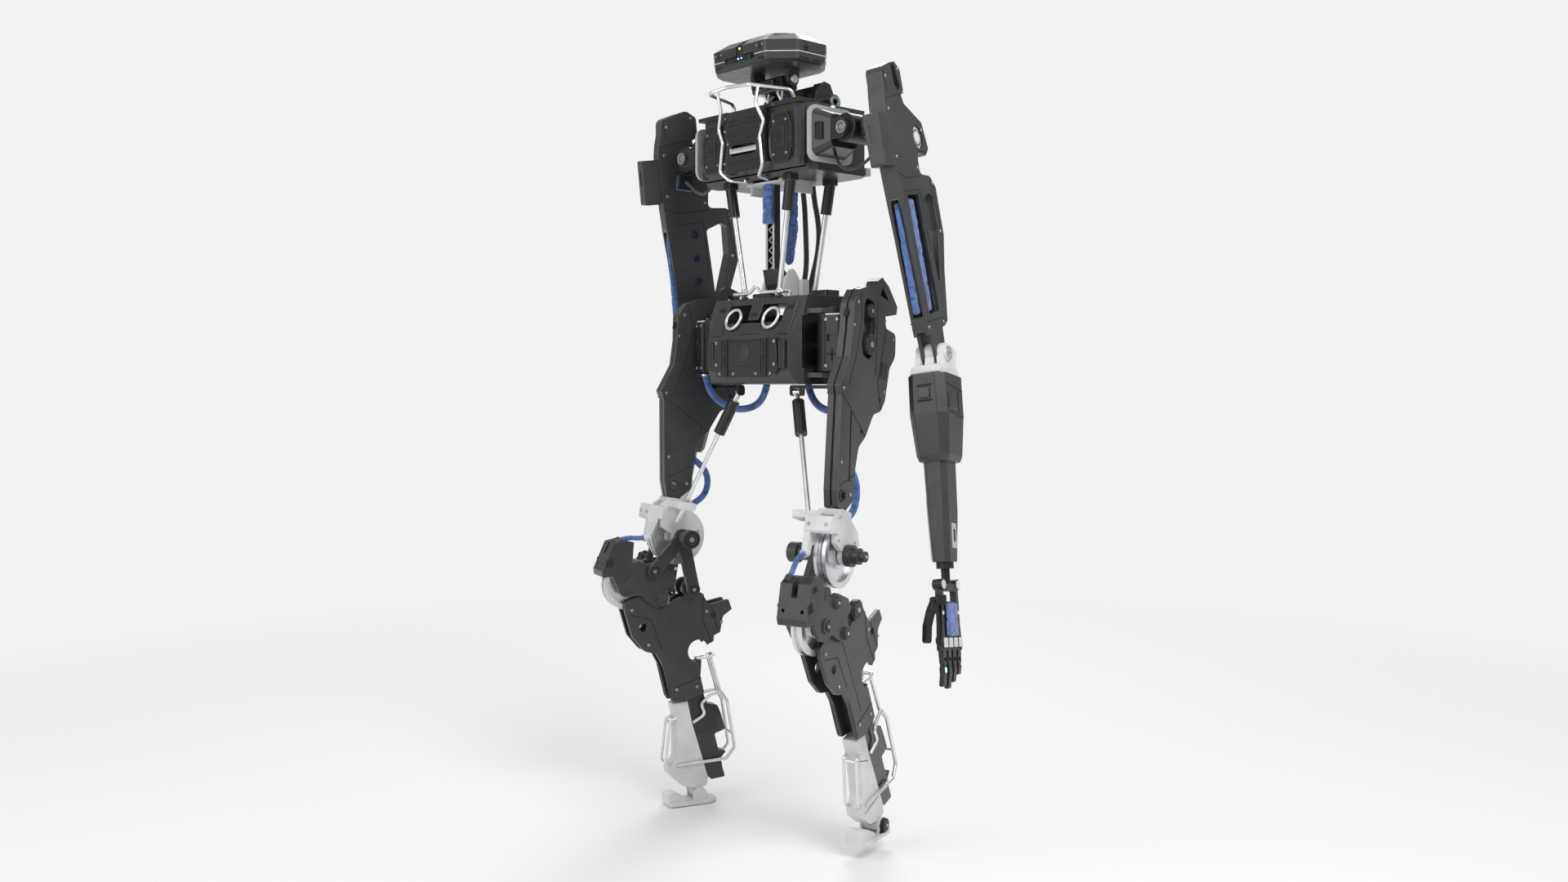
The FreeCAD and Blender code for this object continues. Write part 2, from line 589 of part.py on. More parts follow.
def leg_pulleys():
    """Knee pulley, calf pulley and the small drum: grooved rims on dished webs."""
    def pulley(y, z, radius, half, bore):
        disc = bar((-half, y, z), (half, y, z), radius)
        groove = ring((-half * 0.45, y, z), (half * 0.45, y, z), radius + 1, radius - 5)
        disc = disc.cut(groove)
        for s in (-1, 1):
            dish = ring(*sorted(((s * half * 0.4, y, z), (s * (half + 1), y, z))),
                        radius - 11, radius * 0.42)
            disc = disc.cut(dish)
        return disc.cut(bar((-half - 1, y, z), (half + 1, y, z), bore))

    knee = pulley(0, 0, 60, 12, 10)
    calf = pulley(-116, -86, 54, 11, 9)
    drum = pulley(-54, -128, 24, 12, 7)
    return group(knee, calf, drum)


def shank_frame():
    """Knee axle with its stepped hubs, two links to the calf, and the twin-plate shank."""
    profile = [(-132, -122, 4), (-134, -138, 6), (-122, -196, 16), (-98, -230, 16),
               (-72, -240, 10), (-58, -272, 14), (-46, -346, 2), (-18, -352, 2), (27, -338, 2),
               (17, -273, 2), (46, -238, 2), (58, -234, 2), (60, -222, 2), (75, -217, 2),
               (84, -184, 10), (106, -172, 2), (100, -150, 2), (54, -154, 3), (40, -126, 4),
               (-8, -128, 4), (-56, -146, 4), (-99, -112, 4)]
    plates = []
    for s in (-1, 1):
        plate = slab(profile, *sorted((s * 13, s * 21)), "x")
        boss = bar((s * 13, 14, -113), (s * 24, 14, -113), 19)
        plates.append(plate.fuse(boss))
    body = plates[0].fuse(plates[1])
    core = slab([(-44, -186, 6), (44, -180, 4), (20, -336), (-20, -348), (-24, -250, 8)],
                -13, 13, "x")
    body = body.fuse(core)
    body = body.cut(bar((-30, 22, -249), (30, 22, -249), 24))
    body = body.cut(bar((-30, -96, -180), (30, -96, -180), 9))
    body = body.cut(bar((-30, 62, -178), (30, 62, -178), 7))
    for s in (-1, 1):
        seam = slab([(-56, -146), (-53, -146), (-20, -300), (-23, -300)],
                    *sorted((s * 19.5, s * 22)), "x")
        body = body.cut(seam)
    axle = bar((-80, 0, 0), (62, 0, 0), 10)
    hubs = [bar((24.4, 0, 0), (38, 0, 0), 20), bar((38, 0, 0), (52, 0, 0), 15),
            bar((-74, 0, 0), (-46, 0, 0), 14), bar((-92, 0, 0), (-74, 0, 0), 19)]
    links = []
    for (y, z) in ((-69, -62), (14, -113)):
        length = math.hypot(y, z)
        ny, nz = z / length * 13, -y / length * 13
        link = slab([(ny, nz), (y + ny, z + nz), (y - ny, z - nz), (-ny, -nz)], -45, -34, "x")
        links.append(link.fuse([bar((-45, 0, 0), (-34, 0, 0), 17), bar((-45, y, z), (-34, y, z), 14)]))
    pins = [bar((-36, 14, -113), (13, 14, -113), 8), bar((-36, -69, -62), (-33.3, -69, -62), 8)]
    return join(body, axle, *hubs, *links, *pins)


def front_block():
    """Two-pronged faceted clevis over the calf pulley, with its side plates and pins."""
    prong = [(-178, -62, 4), (-178, -48, 2), (-148, 6, 2), (-124, 9, 2), (-104, 2, 2),
             (-112, -44), (-152, -62)]
    block = slab(prong, -30, 30, "x")
    block = block.cut(box((-6, 6), (-185, -90), (-16, 12)))
    block = block.cut(bar((-12.5, -116, -86), (12.5, -116, -86), 57))
    side = [(-157, -62, 6), (-152, -46), (-96, -38, 4), (-80, -48), (-62, -46, 8), (-26, -72, 3),
            (-20, -94, 4), (-40, -104, 4), (-36, -132, 14), (-66, -142, 10), (-99, -110, 8),
            (-140, -108, 14)]
    plates = []
    for s in (-1, 1):
        plate = slab(side, *sorted((s * 21.4, s * 30)), "x")
        plate = plate.fuse([bar((s * 21.4, -116, -86), (s * 33, -116, -86), 14),
                            bar((s * 21.4, -54, -128), (s * 34, -54, -128), 12),
                            bar((s * 21.4, -69, -62), (s * 33, -69, -62), 12)])
        plates.append(plate.cut(ring((s * 31, -116, -86), (s * 34, -116, -86), 11, 8)))
    calf_pin = bar((-22, -116, -86), (22, -116, -86), 8.9)
    drum_pin = bar((-22, -54, -128), (22, -54, -128), 6.9)
    face = block.fuse(plates + [calf_pin, drum_pin]).removeSplitter()
    for x in (-19, 19):
        face = face.cut(bar((x, -190, -36), (x, -140, -36), 3.5))
    return face.fuse(bar((-20, -143, 5.8), (-20, -131, 10.2), 8)).removeSplitter()


def shank_stub():
    """Pale lower leg casting at the front with the dark stepped spine behind it."""
    casting = slab([(-44, -352.3, 3), (-10, -352.3), (-4, -400, 4), (14, -482, 4), (22, -524, 4),
                    (18, -540, 6), (-10, -540, 4), (-36, -530, 3), (-64, -500, 4), (-66, -486, 4),
                    (-46, -468, 14), (-39, -388, 10)], -15, 15, "x")
    spine = slab([(-8, -353), (27, -339.5), (34, -366, 2), (58, -374, 4), (64, -392, 3),
                  (72, -428, 2), (46, -434, 3), (52, -470, 2), (70, -476, 2), (56, -488, 2),
                  (58, -510, 2), (62, -530, 2), (31, -530, 2), (24.5, -524), (16.5, -482),
                  (-1.5, -400)], -13, 13, "x")
    lug = bar((-15, 0, -SHANK), (15, 0, -SHANK), 13)
    casting = casting.fuse(lug).cut(bar((-20, 0, -SHANK), (20, 0, -SHANK), 6 + PIN_CLEAR))
    wires = shank_loops(0.15)
    return group(casting.removeSplitter().cut(wires), spine.cut(wires))


def shank_loops(extra=0):
    """Bent wire guards: tall rear U, big rear loop on each side and the small front loop."""
    thick, thin = 3.6 + extra, 3.0 + extra
    wires = []
    for s in (-1, 1):
        wires.append(bent_bar([(s * 6, 22, -268), (s * 9, 52, -268), (s * 9, 68, -346)], thick, 9))
    u_top = bent_bar([(-9, 50, -268), (-9, 60, -266), (9, 60, -266), (9, 50, -268)], thick, 3)
    wires.append(u_top)
    for s in (-1, 1):
        wires.append(bent_bar([(s * 16, -46, -484), (s * 20, 10, -486), (s * 20, 66, -490),
                               (s * 18, 88, -470), (s * 16, 80, -370), (s * 13, 68, -346),
                               (s * 18, 42, -348), (s * 20, 18, -362), (s * 20, 25, -386),
                               (s * 16, -2, -400)], thick, 9))
    for s in (-1, 1):
        wires.append(bent_bar([(s * 13, -37, -384), (s * 13, -52, -388), (s * 13, -70, -474),
                               (s * 13, -58, -480)], thin, 7))
    bars = [bar((-13, -51, -392), (13, -51, -392), thin)]
    bars.append(bar((-17, 86, -440), (17, 86, -440), thin))
    return join(*wires, *bars)


def ankle_foot():
    """Ankle knob on its pin and the flat stub foot with toe block and heel tab."""
    knob = bar((20, 0, 0), (28, 0, 0), 13)
    cheeks = [slab([(-15, -15), (-15, 2, 8), (-6, 13, 6), (6, 13, 6), (15, 2, 8), (15, -15)],
                   *sorted((s * 15.6, s * 21)), "x") for s in (-1, 1)]
    pin = bar((-21, 0, 0), (24, 0, 0), 6)
    plate = slab([(-26, -70, 10), (26, -70, 10), (26, 22, 10), (14, 40, 8), (-14, 40, 8),
                  (-26, 22, 10)], -21, -14, "z")
    plate = plate.cut(bar((0, 22, -30), (0, 22, 0), 3.3))
    toe = slab([(-70, -18), (-72, 2, 3), (-58, 6, 3), (-34, -6, 3), (-30, -18)], -20, 20, "x")
    return join(knob, *cheeks, pin, plate, toe)


# ---- arms ---------------------------------------------------------------------------------
def shoulder_hub(side):
    """Barrel on the roll pin with the short shaft, flange and cable gland for the arm."""
    s = 1 if side == "left" else -1
    neck = bar((0, 0, 0), (52, 0, 0), 21)
    flange = bar((48, 0, 0), (58, 0, 0), 30)
    gland = box((50, 57), (-16, 16), (-62, -26), 4, "x")
    shaft = bar((50, 0, 0), (ARM_OUT + 8, 0, 0), 9)
    arm_part = placed(mirrored(join(neck, flange, gland, shaft), side), limb_frames(side)["hub"])
    seat = shift(s * SHOULDER[0], SHOULDER[1], SHOULDER[2]) * turn(V(0, 1, 0), -s * ARM_SPREAD)
    barrel = placed(bar((0, -29.9, 0), (0, 29.9, 0), 27), seat)
    bore = placed(bar((0, -31, 0), (0, 31, 0), 7 + PIN_CLEAR), seat)
    return join(arm_part, barrel).cut(bore)


def arm_frame():
    """Box-section upper arm with lobe, side block, rear lug, muscle windows and rear handle."""
    profile = [(-52, 62, 6), (-50, 92, 16), (10, 108, 12), (32, 92, 10), (32, 52, 3),
               (18, 44, 4), (24, 28, 4), (92, -6, 8), (104, -56, 8), (84, -70, 8),
               (48, -62, 10), (44, -104, 10), (88, -108, 10), (108, -130, 6), (108, -222, 8),
               (82, -290, 8), (56, -384, 4), (40, -392, 3), (-38, -404, 3), (-50, -210, 3),
               (-56, -150, 3), (-60, -88, 3), (-62, 14, 4), (-58, 40, 6)]
    body = slab(profile, -16, 16, "x")
    gap = slab([(36, -152, 8), (70, -140, 8), (84, -146, 6), (84, -212, 8), (52, -312, 3),
                (46, -304, 3)], -20, 20, "x")
    body = body.cut(gap)
    cavity = box((-10, 10), (-56, 26), (-368, -140), 3)
    body = body.cut(cavity)
    outer_window = slab([(-30, -142, 4), (20, -142, 4), (28, -362, 4), (-22, -366, 4)],
                        8, 18, "x")
    front_window = box((-7, 7), (-62, -40), (-366, -150))
    body = body.cut(outer_window).cut(front_window)
    lobe_slot = slab([(-8, 110), (12, 110), (14, 80, 5), (22, 58, 6), (8, 48, 6), (-4, 62, 4)],
                     4, 18, "x")
    body = body.cut(lobe_slot)
    lug_bore = bar((6, 66, -34), (18, 66, -34), 23)
    body = body.cut(lug_bore)
    for z in (-160, -212, -264):
        body = body.cut(bar((-18, 8, z), (-9, 8, z), 7))
    body = body.cut(bar((-18, 0, 0), (8.6, 0, 0), 9 + PIN_CLEAR))
    block = box((-14, 16), (-100, -62.5), (-88, 8), 4, "x")
    slot = box((-6, 6), (-102, -98), (-46, -14))
    body = body.fuse(block.cut(slot)).fuse(box((-12, 12), (-64, -56), (-70, 0)))
    cheeks = [slab([(-21, -ARM - 21, 20), (21, -ARM - 21, 20), (28, -388), (-28, -388)],
                   *sorted((s * 9.3, s * 16)), "x") for s in (-1, 1)]
    body = body.fuse(cheeks).cut(box((-9.3, 9.3), (-60, 60), (-420, -396)))
    body = body.cut(bar((-20, 0, -ARM), (20, 0, -ARM), 7 + PIN_CLEAR))
    return body.removeSplitter()


def arm_muscle():
    """Two padded fabric muscles in the hollow of the upper arm."""
    outer = box((-8, 9.4), (-18, 20), (-362, -146), 5)
    front = box((-6, 6), (-54, -30), (-362, -154), 4)
    return group(outer, front)


def elbow_joint():
    """Pale elbow casting: barrel between the arm cheeks, ring disc and the rear horn."""
    tongue = box((-9, 9), (-14, 14), (-44, 0))
    barrel = bar((-9, 0, 0), (9, 0, 0), 20)
    body = slab([(-46, -46, 4), (-32, -27, 8), (34, -27, 8), (46, -46, 4)], -30, 30, "x")
    web = slab([(-22, -28), (-16, -2, 6), (16, -2, 6), (22, -28)], -9, 9, "x")
    side = [box(sorted((s * 17, s * 27)), (-24, 24), (-44, -8), 8, "x") for s in (-1, 1)]
    ring_disc = ring((27, 0, -4), (31, 0, -4), 15, 6)
    cap = [bar((s * 16.4, 0, -4), (s * 27, 0, -4), 20) for s in (-1, 1)]
    horn = slab([(26, -46), (30, -20, 4), (56, 22, 5), (78, 12, 5), (62, -46)], -13, 13, "x")
    pin = bar((-16.4, 0, 0), (16.4, 0, 0), 7)
    return join(tongue, barrel, body, web, *side, ring_disc, *cap, horn, pin)


def forearm_shell():
    """Tapered gauntlet shell with chamfered corners over a slimmer core and wrist block."""
    def section(z, half_x, y0, y1, c):
        pts = [(-half_x, y0 + c), (-half_x + c, y0), (half_x - c, y0), (half_x, y0 + c),
               (half_x, y1 - c), (half_x - c, y1), (-half_x + c, y1), (-half_x, y1 - c)]
        return closed_wire([(V(x, y, z), 4) for x, y in pts])

    shell = Part.makeLoft([section(-46.3, 38, -50, 52, 16), section(-120, 39, -48, 50, 15),
                           section(-196, 33, -38, 44, 12), section(-206, 29, -34, 40, 10)],
                          True, True)
    core = Part.makeLoft([section(-204, 23, -28, 30, 8), section(-300, 21, -25, 30, 7),
                          section(-388, 18, -22, 22, 7)], True, True)
    wrist = bar((0, 0, -388), (0, 0, -400), 16)
    recess = box((18, 24), (-6, 16), (-366, -316), 4, "x")
    bore = bar((0, 0, -401), (0, 0, -FOREARM + 31), 8 + PIN_CLEAR)
    return shell.fuse([core, wrist]).cut(recess.fuse(bore)).removeSplitter()


def palm():
    """Wrist post, yoke, side frames, back plate, knuckle rod and the clevis of the thumb."""
    post = bar((0, 0, -20), (0, 0, 30), 8)
    yoke = box((-8, 8), (-30, 30), (-26, -13), 5, "x")
    rails = [slab([(a * 26, -8, 4), (a * 36, -8, 4), (a * 38, -84, 3), (a * 42, -118, 3),
                   (a * 30, -118, 3), (a * 27, -84, 3)], -6, 6, "x") for a in (-1, 1)]
    plate = box((-4, 4), (-28, 28), (-110, -44), 3, "x")
    knuckles = box((-7, 7), (-43, 43), (-119, -107), 5, "x")
    discs = [bar((-9, a * 31, -14), (9, a * 31, -14), 10) for a in (-1, 1)]
    lugs = [box((-5, 5), (y - 1.8, y + 1.8), (KNUCKLE_Z - 5, -112), 4, "y")
            for y in (-42, -21, 0, 21, 42)]
    rod = bar((0, -43.8, KNUCKLE_Z), (0, 43.8, KNUCKLE_Z), 2.5)
    thumb_pin = bar((-9.6, 0, 0), (9.6, 0, 0), 3)
    cheeks = [slab([(-5, -5, 4), (-5, 5, 4), (16, 8), (16, -8)], *sorted((a * 6.6, a * 9.6)), "x")
              for a in (-1, 1)]
    clevis = join(thumb_pin, *cheeks, box((-9.6, 9.6), (9.5, 18), (-9, 9)))
    return join(post, yoke, *rails, plate, knuckles, *discs, *lugs, rod,
                placed(clevis, thumb_seat()))


def finger_link(low, high, width, bore):
    """One finger link hanging between two heights below the knuckle rod."""
    link = box((-5, 5), (-width / 2, width / 2), (-high, -low + 4.5), 4.4, "y")
    return link.cut(bar((0, -10, -low), (0, 10, -low), bore + PIN_CLEAR))


def finger_bases():
    """First links, on the knuckle rod, each with the pin that carries the next link."""
    links = []
    drop = KNUCKLE_Z - TIP_Z
    for y in FINGER_Y:
        link = finger_link(0, drop - 7, 13, 2.5)
        ears = [box((-4.5, 4.5), sorted((a * 4.3, a * 6.5)), (-drop - 4.5, -8), 4.4, "y")
                for a in (-1, 1)]
        pin = bar((0, -6.5, -drop), (0, 6.5, -drop), 2)
        part = join(link.cut(box((-6, 6), (-4.3, 4.3), (-drop - 5, -drop + 6.5))), *ears, pin)
        part = part.cut(bar((0, -10, 0), (0, 10, 0), 2.5 + PIN_CLEAR))
        part.translate(V(0, y, KNUCKLE_Z))
        links.append(part)
    return group(*links)


def finger_tips():
    """Outer two links of each finger in one, slightly curled."""
    tips = []
    for y, reach in zip(FINGER_Y, FINGER_REACH):
        middle = box((-4.5, 4.5), (-4, 4), (-reach * 0.5, 4.5), 4.2, "y")
        pad = box((-5, 5), (-5.5, 5.5), (-reach * 0.5, -6), 4, "y")
        end = box((-4.5, 4.5), (-5.5, 5.5), (-reach * 0.55, 4), 4, "y")
        end.rotate(V(0, 0, 0), V(0, 1, 0), 8)
        end.translate(V(0, 0, -reach * 0.5 + 4))
        tip = join(middle, pad, end).cut(bar((0, -10, 0), (0, 10, 0), 2 + PIN_CLEAR))
        tip.translate(V(0, y, TIP_Z))
        tips.append(tip)
    return group(*tips)


def thumb_seat():
    """Placement of the thumb pin at the front of the palm, turned to oppose the fingers."""
    return shift(*THUMB_PIVOT) * turn(V(0, 0, 1), -25)


def thumb():
    """Thumb of three links that stands out forward of the palm."""
    parts = []
    y, z = 0.0, 0.0
    for length, angle, width in ((30, 30, 13), (26, 20, 12), (30, 6, 12)):
        link = box((-6, 6), (-width / 2, width / 2), (-length, 6), 5.5, "x")
        link.rotate(V(0, 0, 0), V(1, 0, 0), -angle)
        link.translate(V(0, y, z))
        parts.append(link)
        y -= (length - 3) * math.sin(math.radians(angle))
        z -= (length - 3) * math.cos(math.radians(angle))
    whole = join(*parts).cut(bar((-8, 0, 0), (8, 0, 0), 3 + PIN_CLEAR))
    return placed(whole, thumb_seat())


# ---- hoses and cables ---------------------------------------------------------------------
HIP_HOSE = [(62, 20, -75.4), (70, 20, -98), (90, 19, -117), (118, 15, -126), (148, 8, -127),
            (176, 0, -118), (198, -9, -101), (210, -16, -80), (213.8, -19.8, -56.2)]
NECK_HOSE = [(10, 3, 510.6), (11, 8, 501), (13, 18, 490), (15, 30, 477.4)]
ARM_CABLE = [(184, -22, 362), (189, -22, 346), (205, -20, 334), (228, -17, 331),
             (252, -15, 339), (272, -13, 353), (292.6, -10.6, 365.5)]
WAIST_CABLES = [
    [(30, 63, 333.6), (31, 66, 300), (36, 72, 262), (38, 74, 222), (33, 72, 182),
     (27, 64, 142), (24, 54, 98.4)],
    [(-4, 66, 333.6), (-6, 74, 298), (-12, 82, 260), (-12, 84, 220), (-5, 79, 180),
     (2, 68, 140), (4, 54, 98.4)],
]
THIGH_HOSE = [(0, 11.3, -236.4), (0, 27.2, -243.7), (0, 44.6, -258.2), (0, 53.4, -279.1),
              (0, 52.2, -300.8), (0, 41.8, -319.5), (0, 24.4, -331.9)]
KNEE_HOSE = {
    "left": [(-21, -80, -14), (-21, -92, -21), (-21, -101.5, -31.4), (-21, -107.2, -44.2)],
    "right": [(-21, -80, -14), (-21, -96, -16.5), (-21, -113, -17.2)],
}
KNEE_HOSE_END = (-20, -130.6, 10.4)


def side_point(point, side):
    x, y, z = point
    return (x if side == "left" else -x, y, z)


def hip_hoses():
    return group(*[hose(f"hip hose {side}", [side_point(p, side) for p in HIP_HOSE], 15)
                   for side in SIDES])


def torso_hoses():
    """Neck hose, two waist cables behind the spine and one cable to each shoulder."""
    arms = [hose(f"arm cable {side}", [side_point(p, side) for p in ARM_CABLE], 6)
            for side in SIDES]
    waist = [hose("waist cable", points, 11) for points in WAIST_CABLES]
    return group(hose("neck hose", NECK_HOSE, 11), *waist, *arms)


def leg_hoses(side):
    """Loop from the back of the thigh to the knee, and the hose from the knee to the calf."""
    frames = limb_frames(side)
    near = [(x, y, z - THIGH) for x, y, z in KNEE_HOSE[side]]
    end = side_point(KNEE_HOSE_END, side)
    end = frames["thigh"].inverse().multVec(frames["shank"].multVec(V(*end)))
    end.x = -abs(end.x)
    loop = hose(f"thigh hose {side}", THIGH_HOSE, 14)
    front = hose(f"knee hose {side}", near + [tuple(end)], 10)
    return placed(mirrored(group(loop, front), side), frames["thigh"])


# ---- assembly -----------------------------------------------------------------------------
# Lines and wires end flush on the parts that they are seated on.
SEATS = {
    "chest_guard": ["chest_panels", "chest_housing"],
    "hip_hoses": ["pelvis_housing", "hip_block_left", "hip_block_right"],
    "torso_hoses": ["pelvis_housing", "chest_housing", "chest_panels", "neck_module",
                    "shoulder_hub_left", "shoulder_hub_right"],
    "leg_hoses_left": ["thigh_frame_left", "knee_bracket_left", "front_block_left"],
    "leg_hoses_right": ["thigh_frame_right", "knee_bracket_right", "front_block_right"],
}


def build():
    """Every node's shape in the hip frame, keyed by node name."""
    nodes = {
        "pelvis_housing": pelvis_housing(),
        "pelvis_panels": pelvis_panels(),
        "pelvis_handles": pelvis_handles(),
        "waist_base": waist_base(),
        "chest_housing": chest_housing(),
        "chest_panels": chest_panels(),
        "shoulder_boots": shoulder_boots(),
        "chest_guard": chest_guard(),
        "waist_frame": waist_frame(),
        "waist_sleeves": waist_sleeves(),
        "waist_bracket": waist_bracket(),
        "waist_rods_front": waist_rods(-1),
        "waist_rods_rear": waist_rods(1),
        "neck_module": neck_module(),
        "head_shell": head_shell(),
        "head_sensor": head_sensor(),
        "hip_hoses": hip_hoses(),
        "torso_hoses": torso_hoses(),
    }
    limb = {
        "hip_block": ("hip", hip_block()),
        "strut_yoke": ("hip", strut_yoke()),
        "thigh_frame": ("thigh", thigh_frame()),
        "knee_bracket": ("thigh", knee_bracket()),
        "leg_pulleys": ("shank", leg_pulleys()),
        "shank_frame": ("shank", shank_frame()),
        "front_block": ("shank", front_block()),
        "shank_stub": ("shank", shank_stub()),
        "shank_loops": ("shank", shank_loops()),
        "ankle_foot": ("foot", ankle_foot()),
        "arm_frame": ("arm", arm_frame()),
        "arm_muscle": ("arm", arm_muscle()),
        "elbow_joint": ("forearm", elbow_joint()),
        "forearm_shell": ("forearm", forearm_shell()),
        "palm": ("hand", palm()),
        "finger_bases": ("hand", finger_bases()),
        "finger_tips": ("hand", finger_tips()),
        "thumb": ("hand", thumb()),
    }
    for side in SIDES:
        frames = limb_frames(side)
        for name, (frame, shape) in limb.items():
            nodes[f"{name}_{side}"] = placed(mirrored(shape, side), frames[frame])
        nodes[f"hip_strut_{side}"] = placed(mirrored(hip_strut(side), side), frames["hip"])
        nodes[f"shoulder_hub_{side}"] = shoulder_hub(side)
        nodes[f"leg_hoses_{side}"] = leg_hoses(side)
    for name, seats in SEATS.items():
        nodes[name] = nodes[name].cut([nodes[seat] for seat in seats])
    return nodes


def main():
    os.makedirs("parts", exist_ok=True)
    for name, shape in build().items():
        row = shape.copy()
        row.translate(V(0, -FLANGE_Y, 0))
        row.exportStep(f"parts/{name}.step")
        print(f"{name}: {len(row.Solids)} solids, {row.Volume / 1000:.1f} cm3,"
              f" valid {row.isValid()}")


main()
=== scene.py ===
"""Looks of the humanoid robot kit around its CAD frame. Local sizes are in millimetres."""

import math

import bmesh
import bpy
from mathutils import Matrix, Vector, noise


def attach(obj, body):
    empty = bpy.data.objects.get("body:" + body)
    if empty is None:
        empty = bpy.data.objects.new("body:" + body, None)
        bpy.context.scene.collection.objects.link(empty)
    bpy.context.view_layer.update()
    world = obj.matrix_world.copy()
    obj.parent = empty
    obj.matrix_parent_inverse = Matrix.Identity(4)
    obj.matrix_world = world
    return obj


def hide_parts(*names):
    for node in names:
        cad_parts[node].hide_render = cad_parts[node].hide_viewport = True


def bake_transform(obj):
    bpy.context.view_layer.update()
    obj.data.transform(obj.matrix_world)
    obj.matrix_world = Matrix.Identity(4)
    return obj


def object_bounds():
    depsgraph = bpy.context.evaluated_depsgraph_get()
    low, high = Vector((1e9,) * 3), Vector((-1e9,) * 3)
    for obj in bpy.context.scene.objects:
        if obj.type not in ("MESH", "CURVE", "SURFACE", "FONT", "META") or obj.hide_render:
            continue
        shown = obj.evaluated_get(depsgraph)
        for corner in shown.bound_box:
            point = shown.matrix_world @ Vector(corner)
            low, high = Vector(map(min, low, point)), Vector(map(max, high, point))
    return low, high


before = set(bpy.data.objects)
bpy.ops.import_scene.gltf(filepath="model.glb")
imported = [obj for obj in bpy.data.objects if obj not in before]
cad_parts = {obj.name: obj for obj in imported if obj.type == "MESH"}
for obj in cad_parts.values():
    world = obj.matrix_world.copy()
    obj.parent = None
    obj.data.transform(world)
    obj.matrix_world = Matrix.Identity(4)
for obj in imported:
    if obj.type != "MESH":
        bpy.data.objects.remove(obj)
cad_box = [[float(x) for x in corner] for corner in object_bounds()]
SIDES = ("left", "right")

# ---- standing pose, named as in the CAD -----------------------------------------------------
FLANGE_Y = 96.0
YAW_X, YAW_Y, HIP_OUT = 172.0, -20.0, 66.0
THIGH, SHANK, ARM, FOREARM = 402.0, 552.0, 438.0, 415.0
SHOULDER, ARM_OUT = (240.0, -25.0, 404.0), 78.0
STRUT_TOP = (-84.4, 11.2, -90.0)
GUIDE = (-58.0, -14.0, -336.0)
TIP_Z = -151.0
FINGER_Y = (-31.5, -10.5, 10.5, 31.5)
FINGER_REACH = (44.0, 48.0, 38.0, 26.0)
HIP_TOE, ARM_TOE, ARM_SPREAD, ARM_BACK, ELBOW_BEND = 17.0, 17.0, 7.5, 10.0, 16.0
HIP_PITCH = {"left": 16.0, "right": 10.0}
KNEE_BEND = {"left": 32.0, "right": 15.0}


def move(x, y, z):
    return Matrix.Translation((x / 1000, y / 1000, z / 1000))


def spin(axis, degrees):
    return Matrix.Rotation(math.radians(degrees), 4, axis)


def limb_frames(side):
    """Where each limb of one side is drawn; world is the trunk, drawn about the hip centre."""
    s = 1 if side == "left" else -1
    trunk = move(0, -FLANGE_Y, 0)
    hip = trunk @ move(s * YAW_X, YAW_Y, 0) @ spin("Z", s * HIP_TOE)
    thigh = hip @ move(s * HIP_OUT, 0, 0) @ spin("X", -HIP_PITCH[side])
    shank = thigh @ move(0, 0, -THIGH) @ spin("X", KNEE_BEND[side])
    foot = shank @ move(0, 0, -SHANK) @ spin("X", HIP_PITCH[side] - KNEE_BEND[side])
    shoulder = trunk @ move(s * SHOULDER[0], SHOULDER[1], SHOULDER[2])
    hub = shoulder @ spin("Y", -s * ARM_SPREAD) @ spin("Z", s * ARM_TOE)
    arm = hub @ move(s * ARM_OUT, 0, 0) @ spin("X", ARM_BACK)
    forearm = arm @ move(0, 0, -ARM) @ spin("X", -ELBOW_BEND)
    hand = forearm @ move(0, 0, -FOREARM)
    return {"world": trunk, "hip": hip, "thigh": thigh, "shank": shank, "foot": foot,
            "hub": hub, "arm": arm, "forearm": forearm, "hand": hand}


FRAMES = {side: limb_frames(side) for side in SIDES}

# ---- camera -------------------------------------------------------------------------------
AZIMUTH, DISTANCE, EYE_Z = math.radians(47.8), 2.74, -0.082
camera_data = bpy.data.cameras.new("camera")
camera_data.lens = 31.1
camera_data.shift_x = 0.0026
camera_data.shift_y = -0.0339
camera = bpy.data.objects.new("camera", camera_data)
bpy.context.scene.collection.objects.link(camera)
camera.location = (DISTANCE * math.sin(AZIMUTH),
                   -FLANGE_Y / 1000 - DISTANCE * math.cos(AZIMUTH), EYE_Z)
camera.rotation_euler = (math.radians(90), 0, AZIMUTH)
bpy.context.scene.camera = camera


# ---- materials, with their own sizes in metres ----------------------------------------------
# Bevel radii; for hard surfaces the first also sets how wide the painted edge highlight is.
EDGE_ROUNDING_AND_HIGHLIGHT, METAL_EDGE = 0.0011, 0.0008
FINE_RELIEF = 0.0001


def new_material(name):
    material = bpy.data.materials.new(name)
    material.use_nodes = True
    nodes, links = material.node_tree.nodes, material.node_tree.links
    return material, nodes, links, nodes["Principled BSDF"]


def add(nodes, kind, **values):
    node = nodes.new(kind)
    for key, value in values.items():
        if hasattr(node, key):
            setattr(node, key, value)
        else:
            node.inputs[key.replace("_", " ")].default_value = value
    return node


def ramp(nodes, links, source, stops):
    """Colour ramp from (place, grey or colour) stops."""
    node = nodes.new("ShaderNodeValToRGB")
    elements = node.color_ramp.elements
    while len(elements) < len(stops):
        elements.new(0.5)
    for element, (place, value) in zip(elements, stops):
        element.position = place
        colour = (value,) * 3 if isinstance(value, (int, float)) else value
        element.color = (*colour, 1)
    links.new(source, node.inputs[0])
    return node.outputs["Color"]


